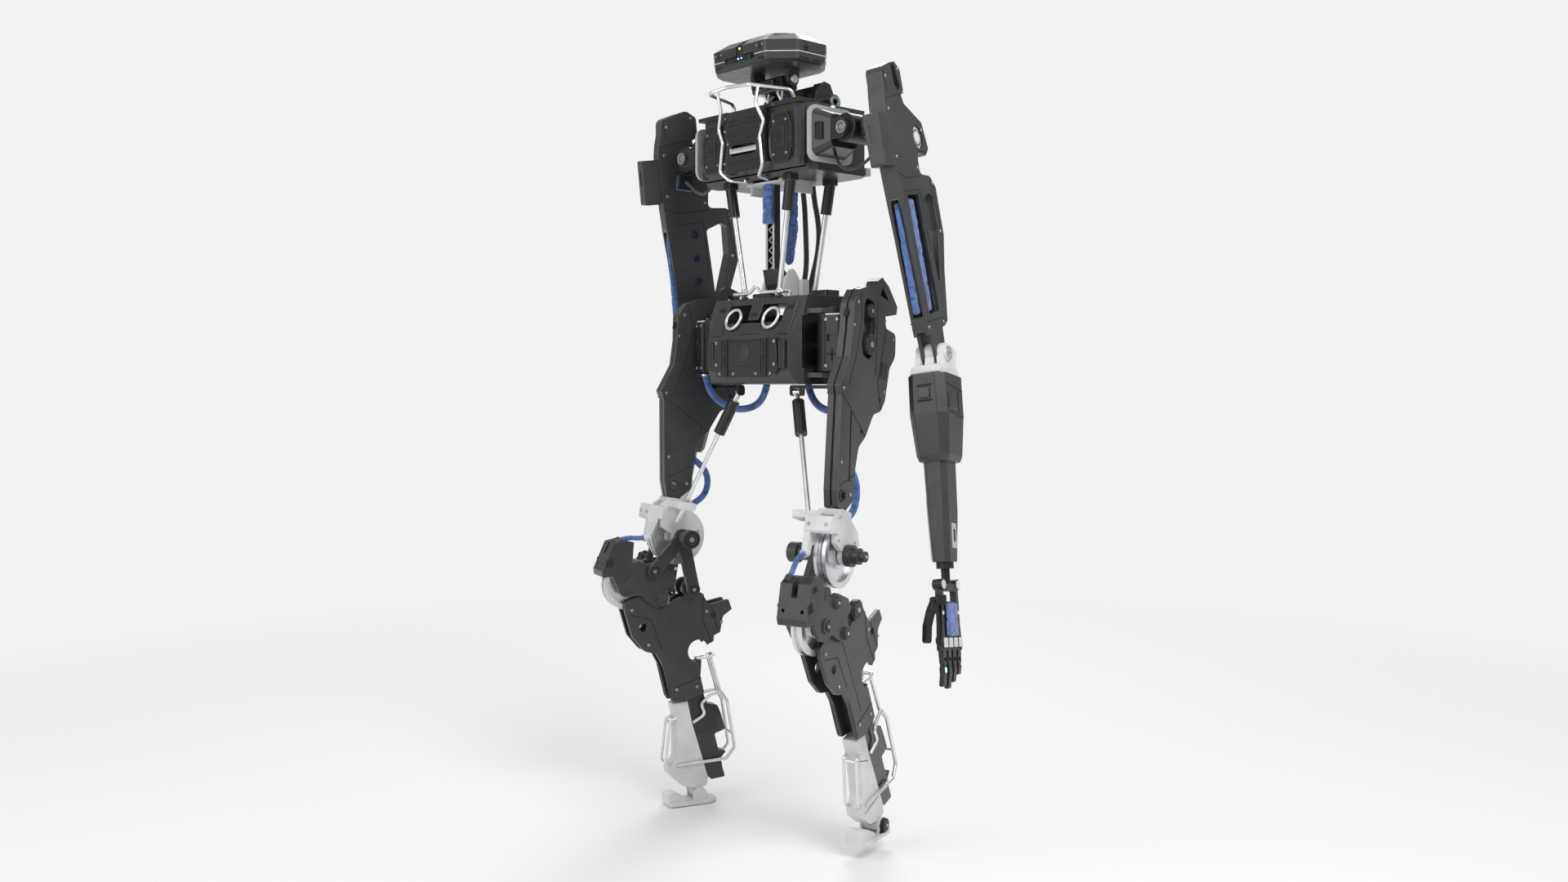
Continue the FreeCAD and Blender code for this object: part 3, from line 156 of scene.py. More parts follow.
def soft_edges(nodes, links, radius):
    """Rounded shading normal, and a mask that is bright on edges, where hard surfaces take a painted
    highlight.
    """
    bevel = add(nodes, "ShaderNodeBevel", samples=4)
    bevel.inputs["Radius"].default_value = radius
    geometry = nodes.new("ShaderNodeNewGeometry")
    dot = nodes.new("ShaderNodeVectorMath")
    dot.operation = "DOT_PRODUCT"
    links.new(bevel.outputs["Normal"], dot.inputs[0])
    links.new(geometry.outputs["Normal"], dot.inputs[1])
    mask = ramp(nodes, links, dot.outputs["Value"], [(0.80, 1.0), (0.985, 0.0)])
    return bevel.outputs["Normal"], mask


def mix(nodes, links, factor, a, b, blend="MIX"):
    """Two colours mixed; each of them, and the factor, is a value or another node's output."""
    node = nodes.new("ShaderNodeMix")
    node.data_type = "RGBA"
    node.blend_type = blend
    if isinstance(factor, (int, float)):
        node.inputs[0].default_value = factor
    else:
        links.new(factor, node.inputs[0])
    for socket, value in ((node.inputs[6], a), (node.inputs[7], b)):
        if isinstance(value, tuple):
            socket.default_value = (*value, 1)
        else:
            links.new(value, socket)
    return node.outputs[2]


def combine(nodes, links, operation, a, b):
    """Sum or product of two outputs."""
    node = nodes.new("ShaderNodeMath")
    node.operation = operation
    links.new(a, node.inputs[0])
    links.new(b, node.inputs[1])
    return node.outputs[0]


def bump_normal(nodes, links, height, normal, strength, distance):
    """Normal with small relief from a height, laid over another normal where there is one."""
    node = add(nodes, "ShaderNodeBump", Strength=strength, Distance=distance)
    links.new(height, node.inputs["Height"])
    if normal:
        links.new(normal, node.inputs["Normal"])
    return node.outputs["Normal"]


def shaded(colour, factor):
    return tuple(min(1.0, c * factor) for c in colour)


def hard_surface(name, base, edge, rough, metal=0.0, grain=0.02, coat=0.0):
    """Moulded or machined surface: mottled tone, fine grain, uneven gloss, and a painted highlight
    along the edges, broken into patches like wear.
    """
    material, nodes, links, shader = new_material(name)
    place = nodes.new("ShaderNodeTexCoord").outputs["Object"]
    mottle = add(nodes, "ShaderNodeTexNoise", Scale=9.0, Detail=5.0, Roughness=0.6)
    fine = add(nodes, "ShaderNodeTexNoise", Scale=900.0, Detail=2.0)
    smear = add(nodes, "ShaderNodeTexNoise", Scale=38.0, Detail=6.0, Distortion=0.8)
    for texture in (mottle, fine, smear):
        links.new(place, texture.inputs["Vector"])
    tone = ramp(nodes, links, mottle.outputs["Fac"],
                [(0.3, shaded(base, 0.82)), (0.7, shaded(base, 1.16))])
    normal, mask = soft_edges(nodes, links, EDGE_ROUNDING_AND_HIGHLIGHT)
    patchy = ramp(nodes, links, smear.outputs["Fac"], [(0.35, 0.25), (0.65, 1.0)])
    # Edge wear and painted highlight: the lighter edge colour is mixed in along the edges, in
    # patches.
    painted_highlight_and_wear = combine(nodes, links, "MULTIPLY", mask, patchy)
    colour = mix(nodes, links, painted_highlight_and_wear, tone, edge)
    links.new(colour, shader.inputs["Base Color"])
    gloss = ramp(nodes, links, smear.outputs["Fac"],
                 [(0.25, rough * 0.8), (0.8, min(1.0, rough * 1.25))])
    links.new(gloss, shader.inputs["Roughness"])
    relief = bump_normal(nodes, links, fine.outputs["Fac"], normal, grain * 10, FINE_RELIEF)
    links.new(relief, shader.inputs["Normal"])
    shader.inputs["Metallic"].default_value = metal
    shader.inputs["Coat Weight"].default_value = coat
    return material


def brushed(name, base, rough):
    """Satin metal with fine lengthwise scratches."""
    material, nodes, links, shader = new_material(name)
    place = nodes.new("ShaderNodeTexCoord").outputs["Object"]
    squeeze = add(nodes, "ShaderNodeMapping")
    squeeze.inputs["Scale"].default_value = (220, 220, 12)
    links.new(place, squeeze.inputs["Vector"])
    streak = add(nodes, "ShaderNodeTexNoise", Scale=6.0, Detail=6.0)
    links.new(squeeze.outputs["Vector"], streak.inputs["Vector"])
    cloud = add(nodes, "ShaderNodeTexNoise", Scale=14.0, Detail=4.0)
    links.new(place, cloud.inputs["Vector"])
    tone = ramp(nodes, links, cloud.outputs["Fac"],
                [(0.3, shaded(base, 0.85)), (0.7, shaded(base, 1.1))])
    links.new(tone, shader.inputs["Base Color"])
    gloss = ramp(nodes, links, streak.outputs["Fac"], [(0.3, rough * 0.75), (0.7, rough * 1.3)])
    links.new(gloss, shader.inputs["Roughness"])
    normal, _ = soft_edges(nodes, links, METAL_EDGE)
    relief = bump_normal(nodes, links, streak.outputs["Fac"], normal, 0.12, FINE_RELIEF)
    links.new(relief, shader.inputs["Normal"])
    shader.inputs["Metallic"].default_value = 0.9
    return material


def cloth(name, base, weave):
    """Tight woven fabric with creases and a soft sheen; the creases carry painted shade in the folds
    and painted light on their crowns.
    """
    material, nodes, links, shader = new_material(name)
    place = nodes.new("ShaderNodeTexCoord").outputs["Object"]
    crease = add(nodes, "ShaderNodeTexNoise", Scale=42.0, Detail=5.0, Distortion=1.6)
    threads = add(nodes, "ShaderNodeTexNoise", Scale=weave, Detail=2.0)
    warp = add(nodes, "ShaderNodeTexWave", Scale=weave * 0.6, Distortion=0.6)
    weft = add(nodes, "ShaderNodeTexWave", bands_direction="Z", Scale=weave * 0.6, Distortion=0.6)
    for texture in (crease, threads, warp, weft):
        links.new(place, texture.inputs["Vector"])
    # Painted shade and light: the crease noise that sinks the folds in the bump also darkens them
    # and lightens the crowns.
    tone = ramp(nodes, links, crease.outputs["Fac"],
                [(0.36, shaded(base, 0.5)), (0.5, base), (0.68, shaded(base, 1.4))])
    fleck = ramp(nodes, links, threads.outputs["Fac"], [(0.3, 0.72), (0.7, 1.0)])
    links.new(mix(nodes, links, 0.8, tone, fleck, "MULTIPLY"), shader.inputs["Base Color"])
    total = combine(nodes, links, "ADD", warp.outputs["Fac"], weft.outputs["Fac"])
    fold = bump_normal(nodes, links, crease.outputs["Fac"], None, 0.7, 0.003)
    relief = bump_normal(nodes, links, total, fold, 0.5, 0.0003)
    links.new(relief, shader.inputs["Normal"])
    shader.inputs["Roughness"].default_value = 0.85
    shader.inputs["Sheen Weight"].default_value = 0.45
    return material


def lamp(name, colour, strength):
    """Small light whose glow is a little uneven."""
    material, nodes, links, shader = new_material(name)
    place = nodes.new("ShaderNodeTexCoord").outputs["Object"]
    glow = add(nodes, "ShaderNodeTexNoise", Scale=300.0, Detail=1.0)
    links.new(place, glow.inputs["Vector"])
    power = ramp(nodes, links, glow.outputs["Fac"], [(0.3, strength * 0.7), (0.7, strength)])
    links.new(power, shader.inputs["Emission Strength"])
    shader.inputs["Base Color"].default_value = (*colour, 1)
    shader.inputs["Emission Color"].default_value = (*colour, 1)
    return material


# The second colour of each hard surface is its painted edge highlight, laid on in patches like wear.
SHELL = hard_surface("charcoal_shell", (0.036, 0.037, 0.038), (0.26, 0.26, 0.27), 0.32, grain=0.03)
PANEL = hard_surface("charcoal_panel", (0.020, 0.0205, 0.0215), (0.28, 0.28, 0.29), 0.22, coat=0.3)
BLACK = hard_surface("black_trim", (0.012, 0.012, 0.013), (0.10, 0.10, 0.10), 0.34)
METAL = hard_surface("black_metal", (0.030, 0.031, 0.033), (0.32, 0.32, 0.33), 0.30, metal=0.5)
PALE = hard_surface("pale_plastic", (0.66, 0.665, 0.675), (0.86, 0.86, 0.86), 0.50, grain=0.05)
GREY = hard_surface("grey_plastic", (0.42, 0.425, 0.43), (0.7, 0.7, 0.7), 0.48, grain=0.05)
SILVER = brushed("satin_silver", (0.78, 0.785, 0.80), 0.30)
STEEL = brushed("machined_steel", (0.48, 0.485, 0.50), 0.24)
BLUE = cloth("blue_fabric", (0.085, 0.155, 0.44), 700.0)
HOSE = cloth("blue_hose_sleeve", (0.075, 0.15, 0.45), 1100.0)
CABLE = cloth("black_cable_sleeve", (0.03, 0.031, 0.034), 1100.0)
# Painted shade: dark strips and hexagons stand for the shadow inside grooves, seams, slots and screw
# sockets.
GROOVE_SHADOW = hard_surface("seam_shadow", (0.006, 0.006, 0.006), (0.012, 0.012, 0.012), 0.7)
CYAN = lamp("cyan_lamp", (0.25, 0.75, 1.0), 9.0)
AMBER = lamp("amber_lamp", (1.0, 0.62, 0.08), 9.0)


# ---- mesh pieces --------------------------------------------------------------------------
SHARP = math.radians(35)


def prism(points, low, high, along):
    """Straight block over a closed outline in the plane across one axis."""
    put = {"x": lambda u, v, w: (w, u, v), "y": lambda u, v, w: (u, w, v),
           "z": lambda u, v, w: (u, v, w)}[along]
    n = len(points)
    verts = [put(u, v, low) for u, v in points] + [put(u, v, high) for u, v in points]
    faces = [tuple(range(n)), tuple(range(2 * n - 1, n - 1, -1))]
    faces += [(i, i + n, (i + 1) % n + n, (i + 1) % n) for i in range(n)]
    return verts, faces


def block(x, y, z):
    """Box from its two limits on each axis."""
    return prism([(x[0], y[0]), (x[1], y[0]), (x[1], y[1]), (x[0], y[1])], z[0], z[1], "z")


def square_to(start, end):
    """Two unit directions at right angles to a line, and to each other."""
    axis = (end - start).normalized()
    first = axis.orthogonal().normalized()
    return first, axis.cross(first)


def ring(middle, first, second, radius, sides):
    turns = [2 * math.pi * i / sides for i in range(sides)]
    return [tuple(middle + (first * math.cos(a) + second * math.sin(a)) * radius) for a in turns]


def skin(rings, sides, closed=False):
    """Faces that join rings of points in order, capped, or closed round to the first ring."""
    faces = []
    for k in range(rings if closed else rings - 1):
        start, after = k * sides, (k + 1) % rings * sides
        for i in range(sides):
            j = (i + 1) % sides
            faces.append((start + i, start + j, after + j, after + i))
    if not closed:
        last = (rings - 1) * sides
        faces.append(tuple(range(sides - 1, -1, -1)))
        faces.append(tuple(range(last, last + sides)))
    return faces


def lathe(start, end, profile, sides=32):
    """Turned solid: profile is (fraction of the way, radius) pairs between two points."""
    a, b = Vector(start), Vector(end)
    first, second = square_to(a, b)
    verts = []
    for t, radius in profile:
        verts += ring(a.lerp(b, t), first, second, radius, sides)
    return verts, skin(len(profile), sides)


def disc(start, end, radius, sides=32):
    return lathe(start, end, [(0, radius), (1, radius)], sides)


def washer(start, end, outer, inner):
    """Flat ring with a hole through it."""
    sides = 36
    a, b = Vector(start), Vector(end)
    first, second = square_to(a, b)
    verts = []
    for middle, radius in ((a, inner), (a, outer), (b, outer), (b, inner)):
        verts += ring(middle, first, second, radius, sides)
    return verts, skin(4, sides, closed=True)


def screw(place, outward, radius):
    """Socket head: a low head with a chamfer and a six-sided socket on top, dark with painted shade.
    """
    base, n = Vector(place), Vector(outward).normalized()
    top = base + n * 1.8
    head = lathe(base - n * 0.5, top, [(0, radius), (0.7, radius), (1, radius * 0.82)], 20)
    rim = lathe(top, top + n * 0.05, [(0, radius * 0.82), (1, radius * 0.8)], 20)
    socket = lathe(top + n * 0.05, top + n * 0.1, [(0, radius * 0.45), (1, radius * 0.45)], 6)
    return [head, rim], [socket]


def strip(points, width, depth, along, level):
    """Thin line over a surface, following a polyline in the plane across one axis."""
    parts = []
    for (u0, v0), (u1, v1) in zip(points, points[1:]):
        du, dv = u1 - u0, v1 - v0
        length = math.hypot(du, dv)
        nu, nv = -dv / length * width / 2, du / length * width / 2
        eu, ev = du / length * width / 2, dv / length * width / 2
        quad = [(u0 - eu + nu, v0 - ev + nv), (u0 - eu - nu, v0 - ev - nv),
                (u1 + eu - nu, v1 + ev - nv), (u1 + eu + nu, v1 + ev + nv)]
        parts.append(prism(quad, *sorted((level, level + depth)), along))
    return parts


def wire(points, radius):
    """Round wire along a smooth curve through the points."""
    sides, steps = 8, 3
    pts = [Vector(p) for p in points]
    line = []
    for i in range(len(pts) - 1):
        p0, p1, p2, p3 = pts[max(i - 1, 0)], pts[i], pts[i + 1], pts[min(i + 2, len(pts) - 1)]
        for k in range(steps):
            t = k / steps
            line.append(0.5 * ((2 * p1) + (p2 - p0) * t + (2 * p0 - 5 * p1 + 4 * p2 - p3) * t ** 2
                               + (3 * p1 - p0 - 3 * p2 + p3) * t ** 3))
    line.append(pts[-1])
    return tube_mesh(line, [radius] * len(line), sides)


def tube_mesh(line, radii, sides):
    """Tube round a line of points, without twist, with a radius for each point."""
    verts = []
    across = (line[1] - line[0]).normalized().orthogonal().normalized()
    for i, middle in enumerate(line):
        ahead = (line[min(i + 1, len(line) - 1)] - line[max(i - 1, 0)]).normalized()
        across = (across - ahead * across.dot(ahead)).normalized()
        verts += ring(middle, across, ahead.cross(across), radii[i], sides)
    return verts, skin(len(line), sides)


def piece(name, parts, side, where, body, material, bevel=0.5):
    """One riding object from several solids drawn in a limb frame, in millimetres."""
    flip = side == "right" and where != "world"
    matrix = FRAMES[side][where]
    verts, faces = [], []
    for part_verts, part_faces in parts:
        start = len(verts)
        for x, y, z in part_verts:
            point = Vector(((-x if flip else x) / 1000, y / 1000, z / 1000))
            verts.append(tuple(matrix @ point))
        faces += [tuple(start + i for i in face) for face in part_faces]
    mesh = bpy.data.meshes.new(name)
    mesh.from_pydata(verts, [], faces)
    mesh.materials.append(material)
    mesh.update()
    obj = bpy.data.objects.new(name, mesh)
    bpy.context.scene.collection.objects.link(obj)
    tidy_normals(mesh)
    if bevel:
        rounding = obj.modifiers.new("edges", "BEVEL")
        rounding.width = bevel / 1000
        rounding.segments = 2
        rounding.limit_method = "ANGLE"
        rounding.angle_limit = SHARP
    for polygon in mesh.polygons:
        polygon.use_smooth = True
    smooth = obj.modifiers.new("shading", "WEIGHTED_NORMAL")
    smooth.keep_sharp = True
    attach(obj, body)
    return obj


def tidy_normals(mesh):
    """Faces turned outwards, and edges that turn sharply marked sharp."""
    work = bmesh.new()
    work.from_mesh(mesh)
    bmesh.ops.recalc_face_normals(work, faces=work.faces)
    for edge in work.edges:
        if len(edge.link_faces) == 2 and edge.calc_face_angle(0) > SHARP:
            edge.smooth = False
    work.to_mesh(mesh)
    work.free()


def centre(name, parts, body, material, bevel=0.5):
    """A piece on the trunk, drawn about the hip centre."""
    return piece(name, parts, "left", "world", body, material, bevel)


def twin(*shapes):
    """Solids with their mirror images across the middle of the robot."""
    mirrored = [([(-x, y, z) for x, y, z in verts], [face[::-1] for face in faces])
                for verts, faces in shapes]
    return [*shapes, *mirrored]


# ---- soft pieces --------------------------------------------------------------------------
RINGS, ROUND = 96, 48      # points along and around a padded piece
SQUARENESS = 0.72          # 1 is an oval section, less is squarer
SEAM_DEPTH, SEAM_WIDTH = 0.13, 3.2


def stuffed(name, low, high, side, where, body, nodes, seed, seams, taper=1.0):
    """Upright padded sleeve in a box: crowned sides, pulled-in ends, folds and sewn channels."""
    (x0, y0, z0), (x1, y1, z1) = low, high
    width, depth, height = x1 - x0, y1 - y0, z1 - z0
    verts = []
    for i in range(RINGS + 1):
        t = i / RINGS
        close = min(t, 1 - t) * height / (0.45 * min(width, depth))
        pull = max(0.02, math.sqrt(max(0.0, 1 - max(0.0, 1 - close) ** 2)))
        for seam in seams:
            pull *= 1 - SEAM_DEPTH * math.exp(-((t - seam) * height / SEAM_WIDTH) ** 2)
        slim = taper + (1 - taper) * min(1.0, t / 0.45)
        for k in range(ROUND):
            angle = 2 * math.pi * k / ROUND
            u = math.copysign(abs(math.cos(angle)) ** SQUARENESS, math.cos(angle))
            v = math.copysign(abs(math.sin(angle)) ** SQUARENESS, math.sin(angle))
            spot = Vector((u * 1.3 + seed, v * 1.3, t * height / 26))
            fold = noise.noise(spot) * 0.09 + noise.noise(spot * 3.1) * 0.035
            reach = pull * min(0.90 + fold, 0.99) / 2
            x = (x0 + x1) / 2 + u * width * reach
            y = (y0 + y1) / 2 + v * depth * reach
            verts.append((x, y0 + (y - y0) * slim, z0 + height * t))
    shape = (verts, skin(RINGS + 1, ROUND))
    obj = piece(name, [shape], side, where, body, BLUE, bevel=0)
    if nodes:
        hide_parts(*nodes)


# ---- cords --------------------------------------------------------------------------------
RIB_TURN = 1.1             # rib phase from one point to the next, in radians
HOSE_SIDES = 20


def spline_path(points):
    """Points read from a smooth spline whose control points are the route."""
    curve = bpy.data.curves.new("route", "CURVE")
    curve.dimensions = "3D"
    spline = curve.splines.new("NURBS")
    spline.points.add(len(points) - 1)
    for control, point in zip(spline.points, points):
        control.co = (*point, 1)
    spline.order_u = 3
    spline.use_endpoint_u = True
    spline.resolution_u = 16
    holder = bpy.data.objects.new("route", curve)
    mesh = bpy.data.meshes.new_from_object(holder)
    line = [v.co.copy() for v in mesh.vertices]
    bpy.data.objects.remove(holder)
    bpy.data.meshes.remove(mesh)
    return line


def hose(name, points, diameter, material, rides, nodes, ribs=0.0):
    """Flexible line on its route; rides is one body, or the two bodies that it joins."""
    line = spline_path(points)
    fine = [a.lerp(b, k / 3) for a, b in zip(line, line[1:]) for k in range(3)] + [line[-1]]
    radii = [diameter / 2 * (1 - ribs * (0.5 + 0.5 * math.cos(i * RIB_TURN)))
             for i in range(len(fine))]
    radii[0] = radii[-1] = diameter / 2
    verts, faces = tube_mesh(fine, radii, HOSE_SIDES)
    mesh = bpy.data.meshes.new(name)
    mesh.from_pydata(verts, [], faces)
    mesh.materials.append(material)
    for polygon in mesh.polygons:
        polygon.use_smooth = True
    obj = bpy.data.objects.new(name, mesh)
    bpy.context.scene.collection.objects.link(obj)
    tidy_normals(mesh)
    if len(rides) == 2:
        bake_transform(obj)
    else:
        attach(obj, rides[0])
    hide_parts(*nodes)


def route(points, side, where):
    """Route points drawn in a limb frame, in millimetres, placed in the shared frame, in metres."""
    s = 1 if side == "left" else -1
    return [tuple(FRAMES[side][where] @ Vector((s * x / 1000, y / 1000, z / 1000)))
            for x, y, z in points]


HIP_HOSE = [(62, 20, -75.4), (70, 20, -98), (90, 19, -117), (118, 15, -126), (148, 8, -127),
            (176, 0, -118), (198, -9, -101), (210, -16, -80), (213.8, -19.8, -56.2)]
NECK_HOSE = [(10, 3, 510.6), (11, 8, 501), (13, 18, 490), (15, 30, 477.4)]
ARM_CABLE = [(184, -22, 362), (189, -22, 346), (205, -20, 334), (228, -17, 331),
             (252, -15, 339), (272, -13, 353), (292.6, -10.6, 365.5)]
WAIST_CABLES = [
    [(30, 63, 333.6), (31, 66, 300), (36, 72, 262), (38, 74, 222), (33, 72, 182),
     (27, 64, 142), (24, 54, 98.4)],
    [(-4, 66, 333.6), (-6, 74, 298), (-12, 82, 260), (-12, 84, 220), (-5, 79, 180),
     (2, 68, 140), (4, 54, 98.4)],
]
THIGH_HOSE = [(0, 11.3, -236.4), (0, 27.2, -243.7), (0, 44.6, -258.2), (0, 53.4, -279.1),
              (0, 52.2, -300.8), (0, 41.8, -319.5), (0, 24.4, -331.9)]
KNEE_HOSE = {
    "left": [(-21, -80, -14), (-21, -92, -21), (-21, -101.5, -31.4), (-21, -107.2, -44.2)],
    "right": [(-21, -80, -14), (-21, -96, -16.5), (-21, -113, -17.2)],
}
KNEE_HOSE_END = (-20, -130.6, 10.4)

hose("neck_hose", route(NECK_HOSE, "left", "world"), 0.011, HOSE,
     ("neck", "chest"), ["torso_hoses"])
for number, points in enumerate(WAIST_CABLES):
    hose(f"waist_cable_{number}", route(points, "left", "world"), 0.011, CABLE,
         ("chest", "pelvis"), ["torso_hoses"])
for side in SIDES:
    hose(f"hip_hose_{side}", route(HIP_HOSE, side, "world"), 0.015, HOSE,
         ("pelvis", f"hip_{side}"), ["hip_hoses"], ribs=0.06)
    hose(f"arm_cable_{side}", route(ARM_CABLE, side, "world"), 0.006, CABLE,
         ("chest", f"shoulder_{side}"), ["torso_hoses"])
    hose(f"thigh_hose_{side}", route(THIGH_HOSE, side, "thigh"), 0.014, HOSE,
         (f"thigh_{side}",), [f"leg_hoses_{side}"], ribs=0.06)
    knee_route = [(x, y, z - THIGH) for x, y, z in KNEE_HOSE[side]]
    hose(f"knee_hose_{side}",
         route(knee_route, side, "thigh") + route([KNEE_HOSE_END], side, "shank"), 0.010, HOSE,
         (f"thigh_{side}", f"shank_{side}"), [f"leg_hoses_{side}"],
         ribs=0.06)

# ---- finishes of the CAD nodes ------------------------------------------------------------
FINISH = {
    "pelvis_housing": SHELL, "pelvis_panels": PANEL, "pelvis_handles": SILVER,
    "waist_base": PALE, "chest_housing": SHELL, "chest_panels": PANEL, "shoulder_boots": PANEL,
    "chest_guard": SILVER, "waist_frame": METAL, "waist_bracket": PALE,
    "waist_rods_front": SILVER, "waist_rods_rear": SILVER, "neck_module": METAL,
    "head_shell": SHELL, "head_sensor": METAL, "hip_block": METAL, "strut_yoke": METAL,
    "hip_strut": SILVER, "thigh_frame": SHELL, "knee_bracket": PALE, "leg_pulleys": SILVER,
    "shank_frame": SHELL, "front_block": SHELL, "shank_stub": PALE, "shank_loops": SILVER,
    "ankle_foot": PALE, "shoulder_hub": METAL, "arm_frame": SHELL, "elbow_joint": PALE,
    "forearm_shell": SHELL, "palm": METAL, "finger_bases": BLACK, "finger_tips": BLACK,
    "thumb": BLACK,
}
for node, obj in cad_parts.items():
    base = node.removesuffix("_left").removesuffix("_right")
    if base in FINISH:
        obj.data.materials.clear()
        obj.data.materials.append(FINISH[base])


# ---- second finishes on parts of CAD nodes ------------------------------------------------
def paint(node, side, where, test, material):
    """Give the faces whose middle passes the test, in limb millimetres, another finish."""
    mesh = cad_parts[node].data
    mesh.materials.append(material)
    index = len(mesh.materials) - 1
    inverse = FRAMES[side][where].inverted()
    flip = -1 if side == "right" and where != "world" else 1
    for polygon in mesh.polygons:
        x, y, z = inverse @ polygon.center * 1000
        if test(x * flip, y, z):
            polygon.material_index = index


def spine_edge(z):
    """Where the dark spine of the lower leg begins, at one height."""
    stops = [(-353, -8), (-400, -1.5), (-482, 16.5), (-524, 24.5), (-545, 30)]
    for (z0, y0), (z1, y1) in zip(stops, stops[1:]):
        if z >= z1:
            return y0 + (y1 - y0) * (z0 - z) / (z0 - z1)
    return stops[-1][1]


def strut_line(side):
    """Top pin and direction of the hip strut in the hip frame, in millimetres."""
    top = Vector(STRUT_TOP)
    guide = Vector((HIP_OUT, 0, 0)) + spin("X", -HIP_PITCH[side]) @ Vector(GUIDE)
    return top, (guide - top).normalized()


def on_strut_sleeve(side):
    """Test for the sleeve of the strut, which is the thick stretch below its eye."""
    top, axis = strut_line(side)

    def test(x, y, z):
        from_top = Vector((x, y, z)) - top
        along = from_top.dot(axis)
        away = (from_top - axis * along).length
        return 21.5 < along < 97.5 and away > 5
    return test


paint("shoulder_boots", "left", "world", lambda x, y, z: abs(x) < 172.3, GREY)
paint("chest_panels", "left", "world",
      lambda x, y, z: abs(x) < 40 and 384 < z < 396 and y > -98.8, SILVER)
paint("waist_frame", "left", "world",
      lambda x, y, z: abs(x) < 13.2 and y < -26.8 and z > 158, SILVER)
paint("waist_frame", "left", "world",
      lambda x, y, z: abs(x) < 6.9 and -25 < y < -20 and z > 152, STEEL)
paint("neck_module", "left", "world", lambda x, y, z: z < 513.8 and abs(x) > 13, SILVER)
for side in SIDES:
    paint(f"shank_stub_{side}", side, "shank",
          lambda x, y, z: y > spine_edge(z) - 1.2 and z > -534, PANEL)
    paint(f"ankle_foot_{side}", side, "foot",
          lambda x, y, z: x > 20.9 and abs(y) < 14 and abs(z) < 14, BLACK)
    paint(f"hip_strut_{side}", side, "hip", on_strut_sleeve(side), BLACK)
    paint(f"knee_bracket_{side}", side, "thigh",
          lambda x, y, z: -398 < z < -325 and abs(x) < 9.2 and -38 < y < -8, SHELL)
    paint(f"forearm_shell_{side}", side, "forearm", lambda x, y, z: z < -388.2, BLACK)


# ---- small hard details -------------------------------------------------------------------
def fasten(name, places, outward, side, where, body, radius=3.2):
    """Socket screws, their sockets dark with painted shade."""
    heads, sockets = [], []
    for place in places:
        head, socket = screw(place, outward, radius)
        heads += head
        sockets += socket
    piece(f"{name}_heads", heads, side, where, body, STEEL, bevel=0)
    piece(f"{name}_sockets", sockets, side, where, body, GROOVE_SHADOW, bevel=0)


def hub_cap(name, place, way, radii, side, where, body, material=METAL):
    """Stepped cap with a hex bolt in the middle; way is the side of local x it looks to."""
    x, y, z = place
    outer, inner = radii
    rim = washer(place, (x + way * 1.6, y, z), outer, inner)
    dish = disc(place, (x + way * 0.8, y, z), inner)
    bolt = lathe(place, (x + way * 3.2, y, z), [(0, inner * 0.62), (1, inner * 0.58)], 6)
    piece(f"{name}_cap_{side}", [rim, dish], side, where, body, material, 0.4)
    piece(f"{name}_bolt_{side}", [bolt], side, where, body, STEEL, 0.3)


def facet(x, z, lift):
    """Pad on the sloping upper front of the pelvis."""
    def front(height, out):
        # the slope leans back by 36 in a height of 84, and (-0.92, 0.39) stands square to it
        return (-88 + (height - 14) * 36 / 84 - out * 0.92, height + out * 0.39)
    quad = [front(z[0], -0.4), front(z[1], -0.4), front(z[1], lift), front(z[0], lift)]
    return prism(quad, x[0], x[1], "x")


def outline(points, width, along, level, depth=0.5):
    """Thin line that closes on itself."""
    return strip(points + points[:1], width, depth, along, level)


def plate_lines(paths, outer, inner):
    """Panel lines on the two faces of plates that lie across local x."""
    lines = []
    for path in paths:
        lines += strip(path, 1.5, 0.5, "x", outer - 0.1)
        lines += strip(path, 1.5, 0.5, "x", inner - 0.4)
    return lines


def plate_screws(limb, spots, outer, inner, side, where, body):
    """Screws on the two faces of plates that lie across local x."""
    for kind, x, way in (("screws", outer, 1), ("inner_screws", inner, -1)):
        fasten(f"{limb}_{kind}_{side}", [(x, y, z) for y, z in spots], (way, 0, 0), side, where,
               body)


